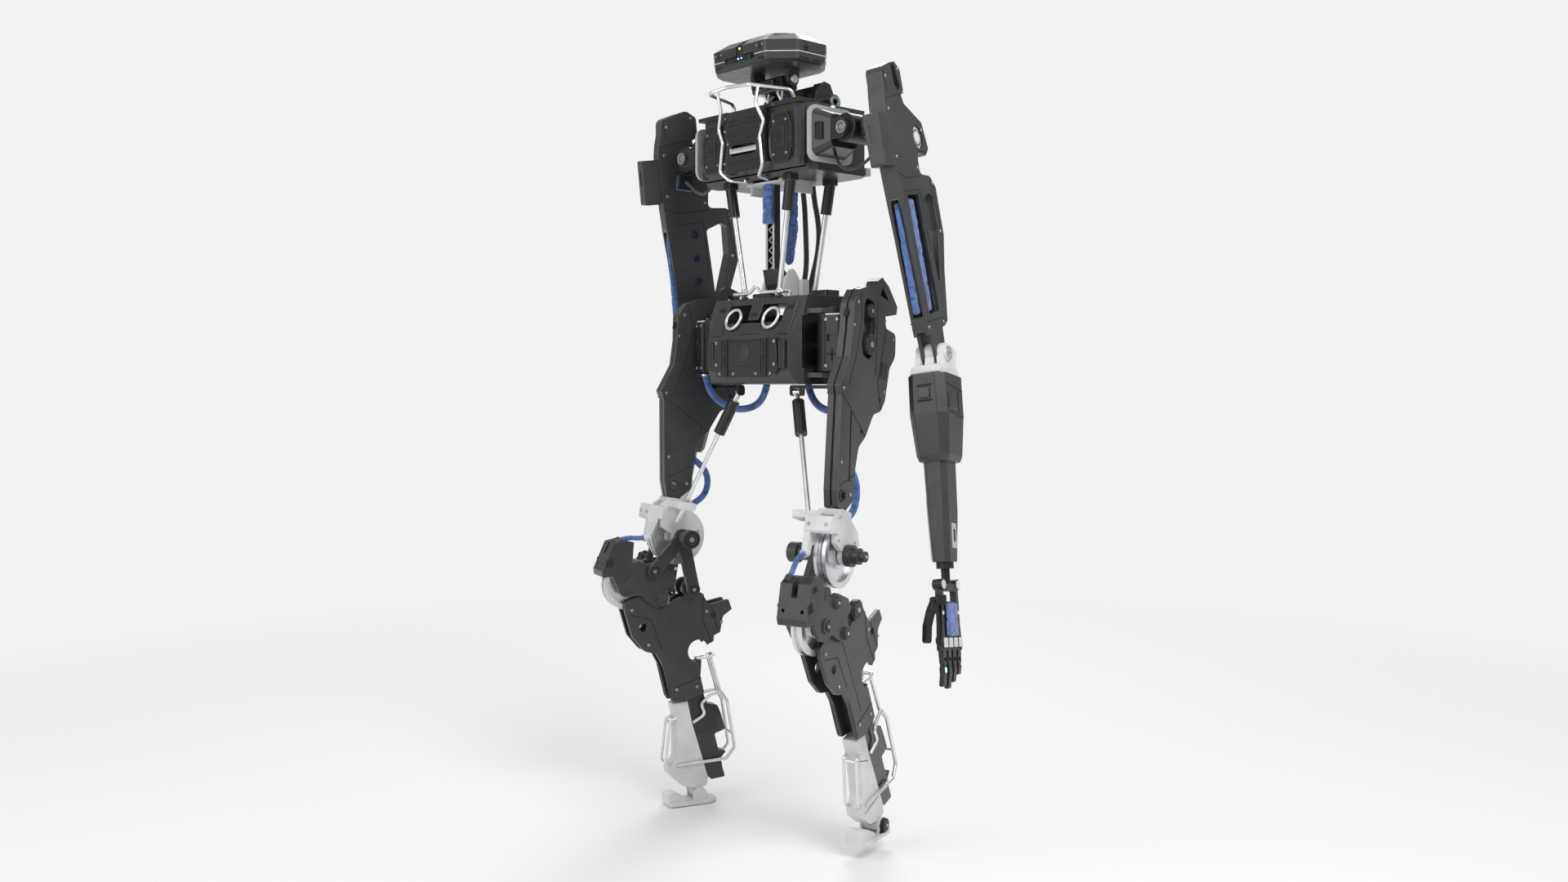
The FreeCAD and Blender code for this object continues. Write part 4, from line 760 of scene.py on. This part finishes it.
def head_details():
    """Light seam, panel lines, lenses, lamps and screws."""
    seam = [(46, -108.1), (76.9, -108.1), (122.1, -62.9), (122.1, 8.9), (76.9, 54.1),
            (-76.9, 54.1), (-122.1, 8.9), (-122.1, -62.9), (-76.9, -108.1), (-46, -108.1)]
    centre("head_light_seam", strip(seam, 1.8, 1.4, "z", 566.8), "head", PALE, 0)
    lines = twin(block((61.4, 62.6), (-110.5, -108), (575, 590)),
                 block((123, 124.5), (-49, -37), (575.5, 578.5)),
                 block((123, 124.5), (-44.5, -41.5), (571, 583)),
                 block((119.5, 122), (-58, -34), (555, 558.5)),
                 block((119.5, 122), (-24, -4), (555, 558.5)),
                 block((56, 74), (-107.8, -104), (555, 558.5)))
    lines += outline([(-70, -78), (-40, -78), (-34, -66), (34, -66), (40, -78), (70, -78), (88, -58),
                      (88, 4), (66, 24), (-66, 24), (-88, 4), (-88, -58)], 1.0, "z", 607.8, 0.45)
    centre("head_panel_lines", lines, "head", GROOVE_SHADOW, 0)
    lens = [lathe((0, -106, 576), (0, -109, 576), [(0, 6), (0.6, 6), (1, 4)], 24)]
    lens += twin(lathe((27, -106.5, 567), (27, -108.6, 567), [(0, 3.6), (0.6, 3.6), (1, 2.4)], 20))
    centre("head_lenses", lens, "head", BLACK, 0)
    centre("head_amber_lamp", [disc((0, -106, 586), (0, -107.8, 586), 1.7, 16)], "head", AMBER,
           0)
    centre("head_cyan_lamps", [block((-6, -3), (-107.7, -106), (566, 567.6)),
                               block((4, 6), (-107.7, -106), (566, 567.6))], "head", CYAN,
           0)
    fasten("head_screws", [(x, y, 608) for x in (-78, 78) for y in (-50, -4)], (0, 0, 1), "left",
           "world", "head")
    fasten("head_front_screws", [(x, -109.8, 582) for x in (-70, -54, 54, 70)], (0, -1, 0), "left",
           "world", "head", 2.2)


def neck_details():
    centre("neck_amber_lamp", [disc((-15, -47.5, 523), (-15, -49.2, 523), 2.4, 16)], "neck", AMBER,
           0)
    centre("neck_cyan_lamp", [disc((9, -47.5, 521), (9, -49.2, 521), 2.4, 16)], "neck", CYAN,
           0)
    caps = twin(lathe((56.4, -14, 531), (60.5, -14, 531), [(0, 9.5), (0.7, 9.5), (1, 8)], 28))
    centre("neck_pin_caps", caps, "neck", SILVER, 0.3)
    centre("neck_lines", [block((x - 0.5, x + 0.5), (-36.4, -35), (514, 535)) for x in (-38, 38)],
           "neck", GROOVE_SHADOW, 0)


def chest_details():
    """Seams, raised pads, screws, lamps and discs."""
    slots = [block((-52, -10), (-99.5, -98), (446, 450)), block((10, 52), (-99.5, -98), (446, 450)),
             block((-52, -22), (-99.5, -98), (418, 421)), block((14, 52), (-99.5, -98), (410, 414)),
             block((-46, 46), (-99.5, -98), (364, 366))]
    slots += outline([(-56, 404), (-56, 440), (56, 440), (56, 404)], 1.0, "y", -99.4)
    hexagon = [(78, 378), (86, 360), (118, 360), (127, 378), (127, 414), (116, 442), (84, 442),
               (78, 424)]
    corner = [(181, 391), (193, 391), (193, 417), (181, 417)]
    slots += twin(*outline(hexagon, 1.5, "y", -93.4), *outline(corner, 1.2, "y", -74.4),
                  block((94, 110), (-95.8, -95), (396, 399)),
                  block((94, 110), (-95.8, -95), (403, 406)))
    slots += [block((-52, 52), (94.2, 95), (z, z + 3)) for z in range(364, 430, 11)]
    centre("chest_seams", slots, "chest", GROOVE_SHADOW, 0)
    pads = [block((-64, 64), (91.5, 94.4), (352, 442))]
    pads += twin(block((90, 114), (-95.2, -92.8), (382, 420)),
                 block((140, 152), (-78, -62), (346, 362)),
                 block((70, 100), (-80, -56), (471, 475)),
                 block((108, 138), (-74, 30), (463, 469)))
    centre("chest_pads", pads, "chest", PANEL, 1.2)
    fasten("chest_screws", [(s * x, -99, z) for s in (-1, 1)
                            for x, z in ((56, 366), (54, 456), (54, 430), (46, 404))],
           (0, -1, 0), "left", "world", "chest", 2.6)
    fasten("flank_screws", [(s * x, -93, z) for s in (-1, 1)
                            for x, z in ((84, 368), (120, 368), (84, 432), (118, 432))],
           (0, -1, 0), "left", "world", "chest", 2.6)
    centre("chest_cyan_lamps", twin(block((164.6, 166.2), (-16, -8), (458.8, 460.6))), "chest", CYAN,
           0)
    centre("chest_grey_corners", twin(block((150, 165.8), (79, 92.6), (336, 352))), "chest", GREY,
           0.8)
    discs = twin(washer((240, -66.6, 404), (240, -65, 404), 12, 8),
                 disc((240, -66, 404), (240, -65, 404), 6))
    centre("shoulder_discs", discs, "chest", STEEL, 0.3)
    centre("yoke_caps", twin(washer((100, 58, 489), (101.6, 58, 489), 13, 7)), "chest", STEEL,
           0.4)


def pelvis_details():
    """Straps, raised pads, seams, the plain round disc, screws and motor ends."""
    straps = twin(block((52, 66), (-97, -95), (-60, 15)))
    centre("pelvis_straps", straps, "pelvis", BLACK, 0.6)
    pads = twin(facet((86, 118), (22, 90), 2.4), block((98, 116), (-94.4, -88), (-44, 10)))
    pads += [facet((-30, 30), (24, 44), 1.6), facet((-16, 16), (52, 92), 2.0)]
    centre("pelvis_pads", pads, "pelvis", PANEL, 1.0)
    seams = [block((-40, 40), (-95.4, -94.5), (z, z + 1.2)) for z in (-40, 10)]
    seams.append(facet((-9, 9), (60, 66), 2.4))
    seams += twin(block((56, 62), (-97.4, -96.5), (-40, -16)),
                  block((56, 62), (-97.4, -96.5), (-10, 6)),
                  block((70, 71.2), (-95.4, -94.5), (-56, 15)),
                  facet((93, 111), (70, 78), 2.8))
    centre("pelvis_seams", seams, "pelvis", GROOVE_SHADOW, 0)
    centre("pelvis_disc", [disc((0, -94.6, -12), (0, -96.3, -12), 12.4)], "pelvis", SHELL,
           0.6)
    fasten("pelvis_screws", [(s * x, -95, z) for s in (-1, 1)
                             for x, z in ((87, -36), (87, 8), (34, -54), (76, -54))],
           (0, -1, 0), "left", "world", "pelvis")
    ends = twin(washer((131, 38, 26), (133, 38, 26), 20, 9),
                washer((126, 34, -22), (128, 34, -22), 16, 7))
    centre("motor_ends", ends, "pelvis", STEEL, 0.4)
    lamps = twin(disc((131, 38, 26), (133.4, 38, 26), 3.2),
                 disc((126, 34, -22), (128.4, 34, -22), 2.4))
    centre("motor_lamps", lamps, "pelvis", CYAN, 0)
    fasten("pelvis_end_screws", [(138, 76, z) for z in (-36, 0, 34)], (1, 0, 0), "left", "world",
           "pelvis")


THIGH_LINES = [
    [(10, 85), (39, -49)], [(-86, -118), (-46, -134), (26, -172)], [(-44, -282), (4, -252)],
    [(-62, 84), (-44, 40), (-48, -40), (-60, -96)], [(58, 46), (50, -60), (76, -104)],
]
SHANK_LINES = [
    [(-120, -150), (-78, -166), (-60, -232)], [(44, -130), (36, -180), (52, -232)],
    [(-60, -262), (-48, -340)], [(-40, -318), (22, -306)], [(60, -160), (70, -212)],
]
ARM_LINES = [
    [(-58, -100), (-20, -112), (40, -108)], [(-56, 34), (30, 48)], [(-44, -378), (44, -376)],
    [(-36, -136), (30, -134), (34, -250)], [(-46, 88), (-40, 50)], [(88, -116), (100, -220)],
    [(52, -60), (90, -62)],
]
THIGH_FACES, SHANK_FACES, ARM_FACES = (15, -14), (21, -21), (16, -16)
SHANK_CAPS = {
    "knee_hub": ((62, 0, 0), 1, (10, 6)), "knee_inner_hub": ((-92, 0, 0), -1, (18, 10)),
    "calf_pin": ((33, -116, -86), 1, (7.6, 5)), "drum_pin": ((34, -54, -128), 1, (11, 6)),
    "link_pin": ((33, -69, -62), 1, (11, 6)), "boss_pin": ((24, 14, -113), 1, (16, 9)),
    "link_end": ((-45, -69, -62), -1, (12, 7)), "link_end_rear": ((-45, 14, -113), -1, (12, 7)),
}


def hip_details(side):
    body = f"hip_{side}"
    fasten(f"hip_screws_{side}", [(x, -36, z) for x in (6, 30) for z in (-40, 48)], (0, -1, 0),
           side, "hip", body)
    piece(f"hip_cross_{side}", [block((17, 20), (-36.7, -35.5), (-30, -6)),
                                block((8, 29), (-36.7, -35.5), (-19.5, -16.5))],
          side, "hip", body, GROOVE_SHADOW, 0)
    piece(f"hip_clevis_{side}", [block((3, 34), (-34, 32), (55.6, 59.4)),
                                 block((28, 36.8), (-30, -14), (40, 58))],
          side, "hip", body, PALE, 0.8)
    piece(f"hip_gland_{side}", [washer((40, -12, -57), (40, -12, -53), 11, 7.6)],
          side, "hip", body, SILVER, 0.3)
    piece(f"hip_boss_ring_{side}", [washer((49, 0, 0), (50.8, 0, 0), 20, 12)],
          side, "hip", body, STEEL, 0.3)


def thigh_details(side):
    body = f"thigh_{side}"
    lines = plate_lines(THIGH_LINES, *THIGH_FACES)
    lines += outline([(57, -47), (77, -47), (77, -19), (57, -19)], 2.0, "x",
                     THIGH_FACES[0] - 0.1)
    lines.append(block((-4, 4), (-83, -80), (30, 44)))
    piece(f"thigh_lines_{side}", lines, side, "thigh", body, GROOVE_SHADOW, 0)
    piece(f"thigh_recess_{side}", [block((14.8, 15.9), (61, 73), (-43, -23))],
          side, "thigh", body, METAL, 0.4)
    hub_cap("thigh_hub", (17, 0, 0), 1, (18, 11), side, "thigh", body)
    hub_cap("thigh_roller", (17, -14, 62), 1, (12, 7), side, "thigh", body)
    hub_cap("thigh_hub_inner", (-14, -14, 62), -1, (12, 7), side, "thigh", body)
    piece(f"thigh_eye_{side}", [washer((14.8, -29, -298), (16.6, -29, -298), 12, 8.2),
                                washer((-15.6, -29, -298), (-13.8, -29, -298), 12, 8.2)],
          side, "thigh", body, METAL, 0.4)
    spots = [(-66, 62), (-70, 16), (48, 62), (92, 40), (82, -70), (-78, -108), (-50, -240),
             (0, -290)]
    plate_screws("thigh", spots, *THIGH_FACES, side, "thigh", body)
    fasten(f"knee_bracket_screws_{side}", [(24, -46, -340), (24, 24, -374), (24, -40, -382)],
           (1, 0, 0), side, "thigh", body, 2.8)
    fasten(f"knee_bridge_screws_{side}", [(x, -80, -360) for x in (-18, 18)], (0, -1, 0), side,
           "thigh", body, 3.6)


def shank_details(side):
    body = f"shank_{side}"
    lines = plate_lines(SHANK_LINES, *SHANK_FACES)
    lines += [block((29.8, 30.7), (-168, -152), (-42, -26)),
              block((29.8, 30.7), (-142, -130), (-14, -4)),
              block((-30.7, -29.8), (-168, -152), (-42, -26))]
    piece(f"shank_lines_{side}", lines, side, "shank", body, GROOVE_SHADOW, 0)
    for name, (place, way, radii) in SHANK_CAPS.items():
        hub_cap(name, place, way, radii, side, "shank", body)
    spots = [(-118, -140), (-88, -218), (48, -168), (80, -196), (-34, -322), (12, -324)]
    plate_screws("shank", spots, *SHANK_FACES, side, "shank", body)
    turns = [math.radians(20 * k) for k in range(-4, 13)]
    cable = [wire([(0, 56.5 * math.cos(a), 56.5 * math.sin(a)) for a in turns], 1.2)]
    piece(f"knee_cable_{side}", cable, side, "shank", body, STEEL, 0)
    lines = strip([(-40, -396), (-12, -410)], 1.2, 0.5, "x", 14.8)
    lines += strip([(-50, -500), (10, -496)], 1.2, 0.5, "x", 14.8)
    piece(f"stub_lines_{side}", lines, side, "shank", body, GROOVE_SHADOW, 0)
    hub_cap("ankle", (28, 0, 0), 1, (11, 6), side, "foot", f"foot_{side}")


def upper_arm_details(side):
    body = f"upper_arm_{side}"
    lines = plate_lines(ARM_LINES, *ARM_FACES)
    piece(f"arm_lines_{side}", lines, side, "arm", body, GROOVE_SHADOW, 0)
    piece(f"arm_disc_{side}", [lathe((6, 66, -34), (14.5, 66, -34),
                                     [(0, 22), (0.5, 22), (0.6, 21), (0.6, 17), (0.8, 16),
                                      (0.8, 10), (1, 9.4)], 48)],
          side, "arm", body, PALE, 0)
    piece(f"arm_disc_ring_{side}", [washer((11, 66, -34), (13, 66, -34), 16.6, 12)],
          side, "arm", body, STEEL, 0.3)
    piece(f"arm_holes_{side}", [washer((-16.9, 8, z), (-15.8, 8, z), 10, 7.2)
                                for z in (-160, -212, -264)],
          side, "arm", body, METAL, 0.3)
    spots = [(-38, 76), (20, 92), (-48, 16), (-48, -72), (84, -20), (94, -122), (94, -214),
             (-34, -388), (36, -384), (38, -92)]
    plate_screws("arm", spots, *ARM_FACES, side, "arm", body)


def shoulder_details(side):
    """Flat pad and steel ring on the flange of the shoulder hub."""
    piece(f"shoulder_gland_{side}", [block((56.6, 60.5), (-18, 18), (-64, -32))],
          side, "hub", f"shoulder_{side}", BLUE, 1.2)
    piece(f"shoulder_flange_ring_{side}", [washer((58, 0, 0), (60, 0, 0), 27, 14)],
          side, "hub", f"shoulder_{side}", STEEL, 0.4)


def forearm_details(side):
    body = f"forearm_{side}"
    hub_cap("elbow", (31, 0, -4), 1, (14, 5.4), side, "forearm", body, SILVER)
    hub_cap("elbow_inner", (-27, 0, -4), -1, (15, 6), side, "forearm", body, SILVER)
    lines = strip([(-32, -66), (34, -74)], 1.4, 1.1, "x", 38.0)
    lines += strip([(14, -76), (14, -118)], 1.4, 1.1, "x", 38.4)
    lines += strip([(-26, -118), (32, -124)], 1.4, 1.1, "x", 38.4)
    lines += [block((-14, 14), (-50.9, -48), (-98, -95)),
              block((-14, 14), (-51.2, -48), (-70, -67))]
    piece(f"forearm_lines_{side}", lines, side, "forearm", body, GROOVE_SHADOW, 0)
    pads = [block((-11, 11), (-52.4, -47), (-92, -73)), block((36, 40.6), (-30, 2), (-112, -82))]
    piece(f"forearm_pads_{side}", pads, side, "forearm", body, PANEL, 1.2)
    rear = [(26, -268), (32.5, -272), (32.5, -304), (24.5, -386), (19, -386), (27, -300)]
    inner = [(-18, -268), (-23.5, -274), (-22.6, -304), (-19.6, -384), (-15, -384), (-18, -300)]
    shells = [prism(rear, -15, 15, "x"), prism(inner, -17, 24, "y")]
    piece(f"forearm_pale_{side}", shells, side, "forearm", body, PALE, 0.8)
    piece(f"forearm_inset_{side}", [block((17.4, 19.8), (-5, 15), (-364, -318))],
          side, "forearm", body, GREY, 0.6)
    piece(f"forearm_slot_{side}", [block((19.6, 20.3), (2, 8), (-352, -330))],
          side, "forearm", body, GROOVE_SHADOW, 0)


def hand_details(side):
    body = f"palm_{side}"
    tabs = [block((6, 9.6), (y - 7, y + 7), (-125, -108)) for y in FINGER_Y]
    piece(f"knuckle_tabs_{side}", tabs, side, "hand", body, PALE, 1.2)
    bosses = [disc((s * 8.6, y, -14), (s * 10.6, y, -14), 8) for s in (-1, 1)
              for y in (-31, 31)]
    bosses += [disc((s * 5.6, a * 33, -64), (s * 7.2, a * 33, -64), 3.6, 20) for s in (-1, 1)
               for a in (-1, 1)]
    piece(f"palm_bosses_{side}", bosses, side, "hand", body, PALE, 0.5)
    tips = f"finger_tips_{side}"
    pads = [block((-6.4, -4.2), (y - 4, y + 4), (TIP_Z + 3 - reach / 2, TIP_Z - 8))
            for y, reach in zip(FINGER_Y, FINGER_REACH)]
    piece(f"finger_pads_{side}", pads, side, "hand", tips, PALE, 0.8)
    piece(f"finger_lamp_{side}", [block((4.4, 5.6), (-33, -30), (-168, -160))],
          side, "hand", tips, CYAN, 0)


def arm_padding(side):
    """Two muscles inside the upper arm, and the pad on the back of the hand."""
    muscle = [f"arm_muscle_{side}"]
    body = f"upper_arm_{side}"
    stuffed(f"arm_muscle_outer_{side}", (-8, -18, -362), (9.4, 20, -146), side, "arm", body,
            muscle, 3.0, seams=(0.25, 0.5, 0.75))
    stuffed(f"arm_muscle_front_{side}", (-6, -54, -362), (6, -30, -154), side, "arm", body,
            muscle, 7.0, seams=(0.33, 0.66))
    stuffed(f"hand_pad_{side}", (4.4, -27, -106), (11.5, 27, -46), side, "hand",
            f"palm_{side}", [], 11.0, seams=(0.5,))


head_details()
neck_details()
chest_details()
pelvis_details()
for side in SIDES:
    hip_details(side)
    thigh_details(side)
    shank_details(side)
    upper_arm_details(side)
    shoulder_details(side)
    forearm_details(side)
    hand_details(side)
    arm_padding(side)
stuffed("waist_sleeve_front", (-16, -38, 246), (16, -27.3, 325.5), "left", "world", "chest",
        ["waist_sleeves"], 5.0, seams=(0.35, 0.7))
stuffed("waist_sleeve_rear", (-12, 20, 168), (12, 46, 325.5), "left", "world", "chest",
        ["waist_sleeves"], 9.0, seams=(0.2, 0.4, 0.6, 0.8), taper=0.4)

# ---- studio -------------------------------------------------------------------------------
BACKDROP = (0.885, 0.885, 0.89, 1)
FLOOR_HALF, FLOOR_GAP = 30, 0.002
HAZE_START, HAZE_END = 1.1, 3.4


def lay_floor():
    """Matt floor just below the feet, which fades into the backdrop with distance."""
    level = cad_box[0][2] - FLOOR_GAP
    corners = [(x * FLOOR_HALF, y * FLOOR_HALF, level)
               for x, y in ((-1, -1), (1, -1), (1, 1), (-1, 1))]
    mesh = bpy.data.meshes.new("floor")
    mesh.from_pydata(corners, [], [(0, 1, 2, 3)])
    floor = bpy.data.objects.new("floor", mesh)
    bpy.context.scene.collection.objects.link(floor)
    material, nodes, links, shader = new_material("floor_paint")
    shader.inputs["Base Color"].default_value = (0.86, 0.86, 0.86, 1)
    shader.inputs["Roughness"].default_value = 0.9
    haze = nodes.new("ShaderNodeEmission")
    haze.inputs["Color"].default_value = BACKDROP
    away = nodes.new("ShaderNodeVectorMath")
    away.operation = "LENGTH"
    links.new(nodes.new("ShaderNodeTexCoord").outputs["Object"], away.inputs[0])
    spread = nodes.new("ShaderNodeMapRange")
    spread.inputs["From Min"].default_value = HAZE_START
    spread.inputs["From Max"].default_value = HAZE_END
    links.new(away.outputs["Value"], spread.inputs["Value"])
    fade = nodes.new("ShaderNodeMixShader")
    links.new(spread.outputs["Result"], fade.inputs[0])
    links.new(shader.outputs[0], fade.inputs[1])
    links.new(haze.outputs[0], fade.inputs[2])
    links.new(fade.outputs[0], nodes["Material Output"].inputs["Surface"])
    mesh.materials.append(material)


def light_world():
    """Even backdrop for the camera, and a banded sky for everything that it lights."""
    world = bpy.data.worlds.new("studio")
    bpy.context.scene.world = world
    world.use_nodes = True
    nodes, links = world.node_tree.nodes, world.node_tree.links
    seen = nodes["Background"]
    seen.inputs["Color"].default_value = BACKDROP
    lit = nodes.new("ShaderNodeBackground")
    lit.inputs["Strength"].default_value = 0.75
    heading = nodes.new("ShaderNodeSeparateXYZ")
    links.new(nodes.new("ShaderNodeTexCoord").outputs["Generated"], heading.inputs[0])
    bands = ramp(nodes, links, heading.outputs["Z"], [(0.0, 0.55), (0.25, 0.35), (0.8, 1.0)])
    links.new(bands, lit.inputs["Color"])
    choice = nodes.new("ShaderNodeMixShader")
    links.new(nodes.new("ShaderNodeLightPath").outputs["Is Camera Ray"], choice.inputs[0])
    links.new(lit.outputs[0], choice.inputs[1])
    links.new(seen.outputs[0], choice.inputs[2])
    links.new(choice.outputs[0], nodes["World Output"].inputs["Surface"])


def soft_light(name, place, aim, power, size):
    """Square area light that looks at a point."""
    data = bpy.data.lights.new(name, "AREA")
    data.energy = power
    data.size = size
    light = bpy.data.objects.new(name, data)
    bpy.context.scene.collection.objects.link(light)
    light.location = place
    light.rotation_euler = (Vector(aim) - Vector(place)).to_track_quat("-Z", "Y").to_euler()


lay_floor()
bpy.context.scene.view_settings.view_transform = "Standard"
light_world()
soft_light("key", (2.6, -0.6, 1.9), (0, -0.1, 0), 60, 1.6)
soft_light("fill", (-0.4, -3.2, 1.0), (0, -0.1, 0), 30, 2.4)
soft_light("rim", (-2.0, 2.2, 2.2), (0, -0.1, 0.1), 50, 1.6)
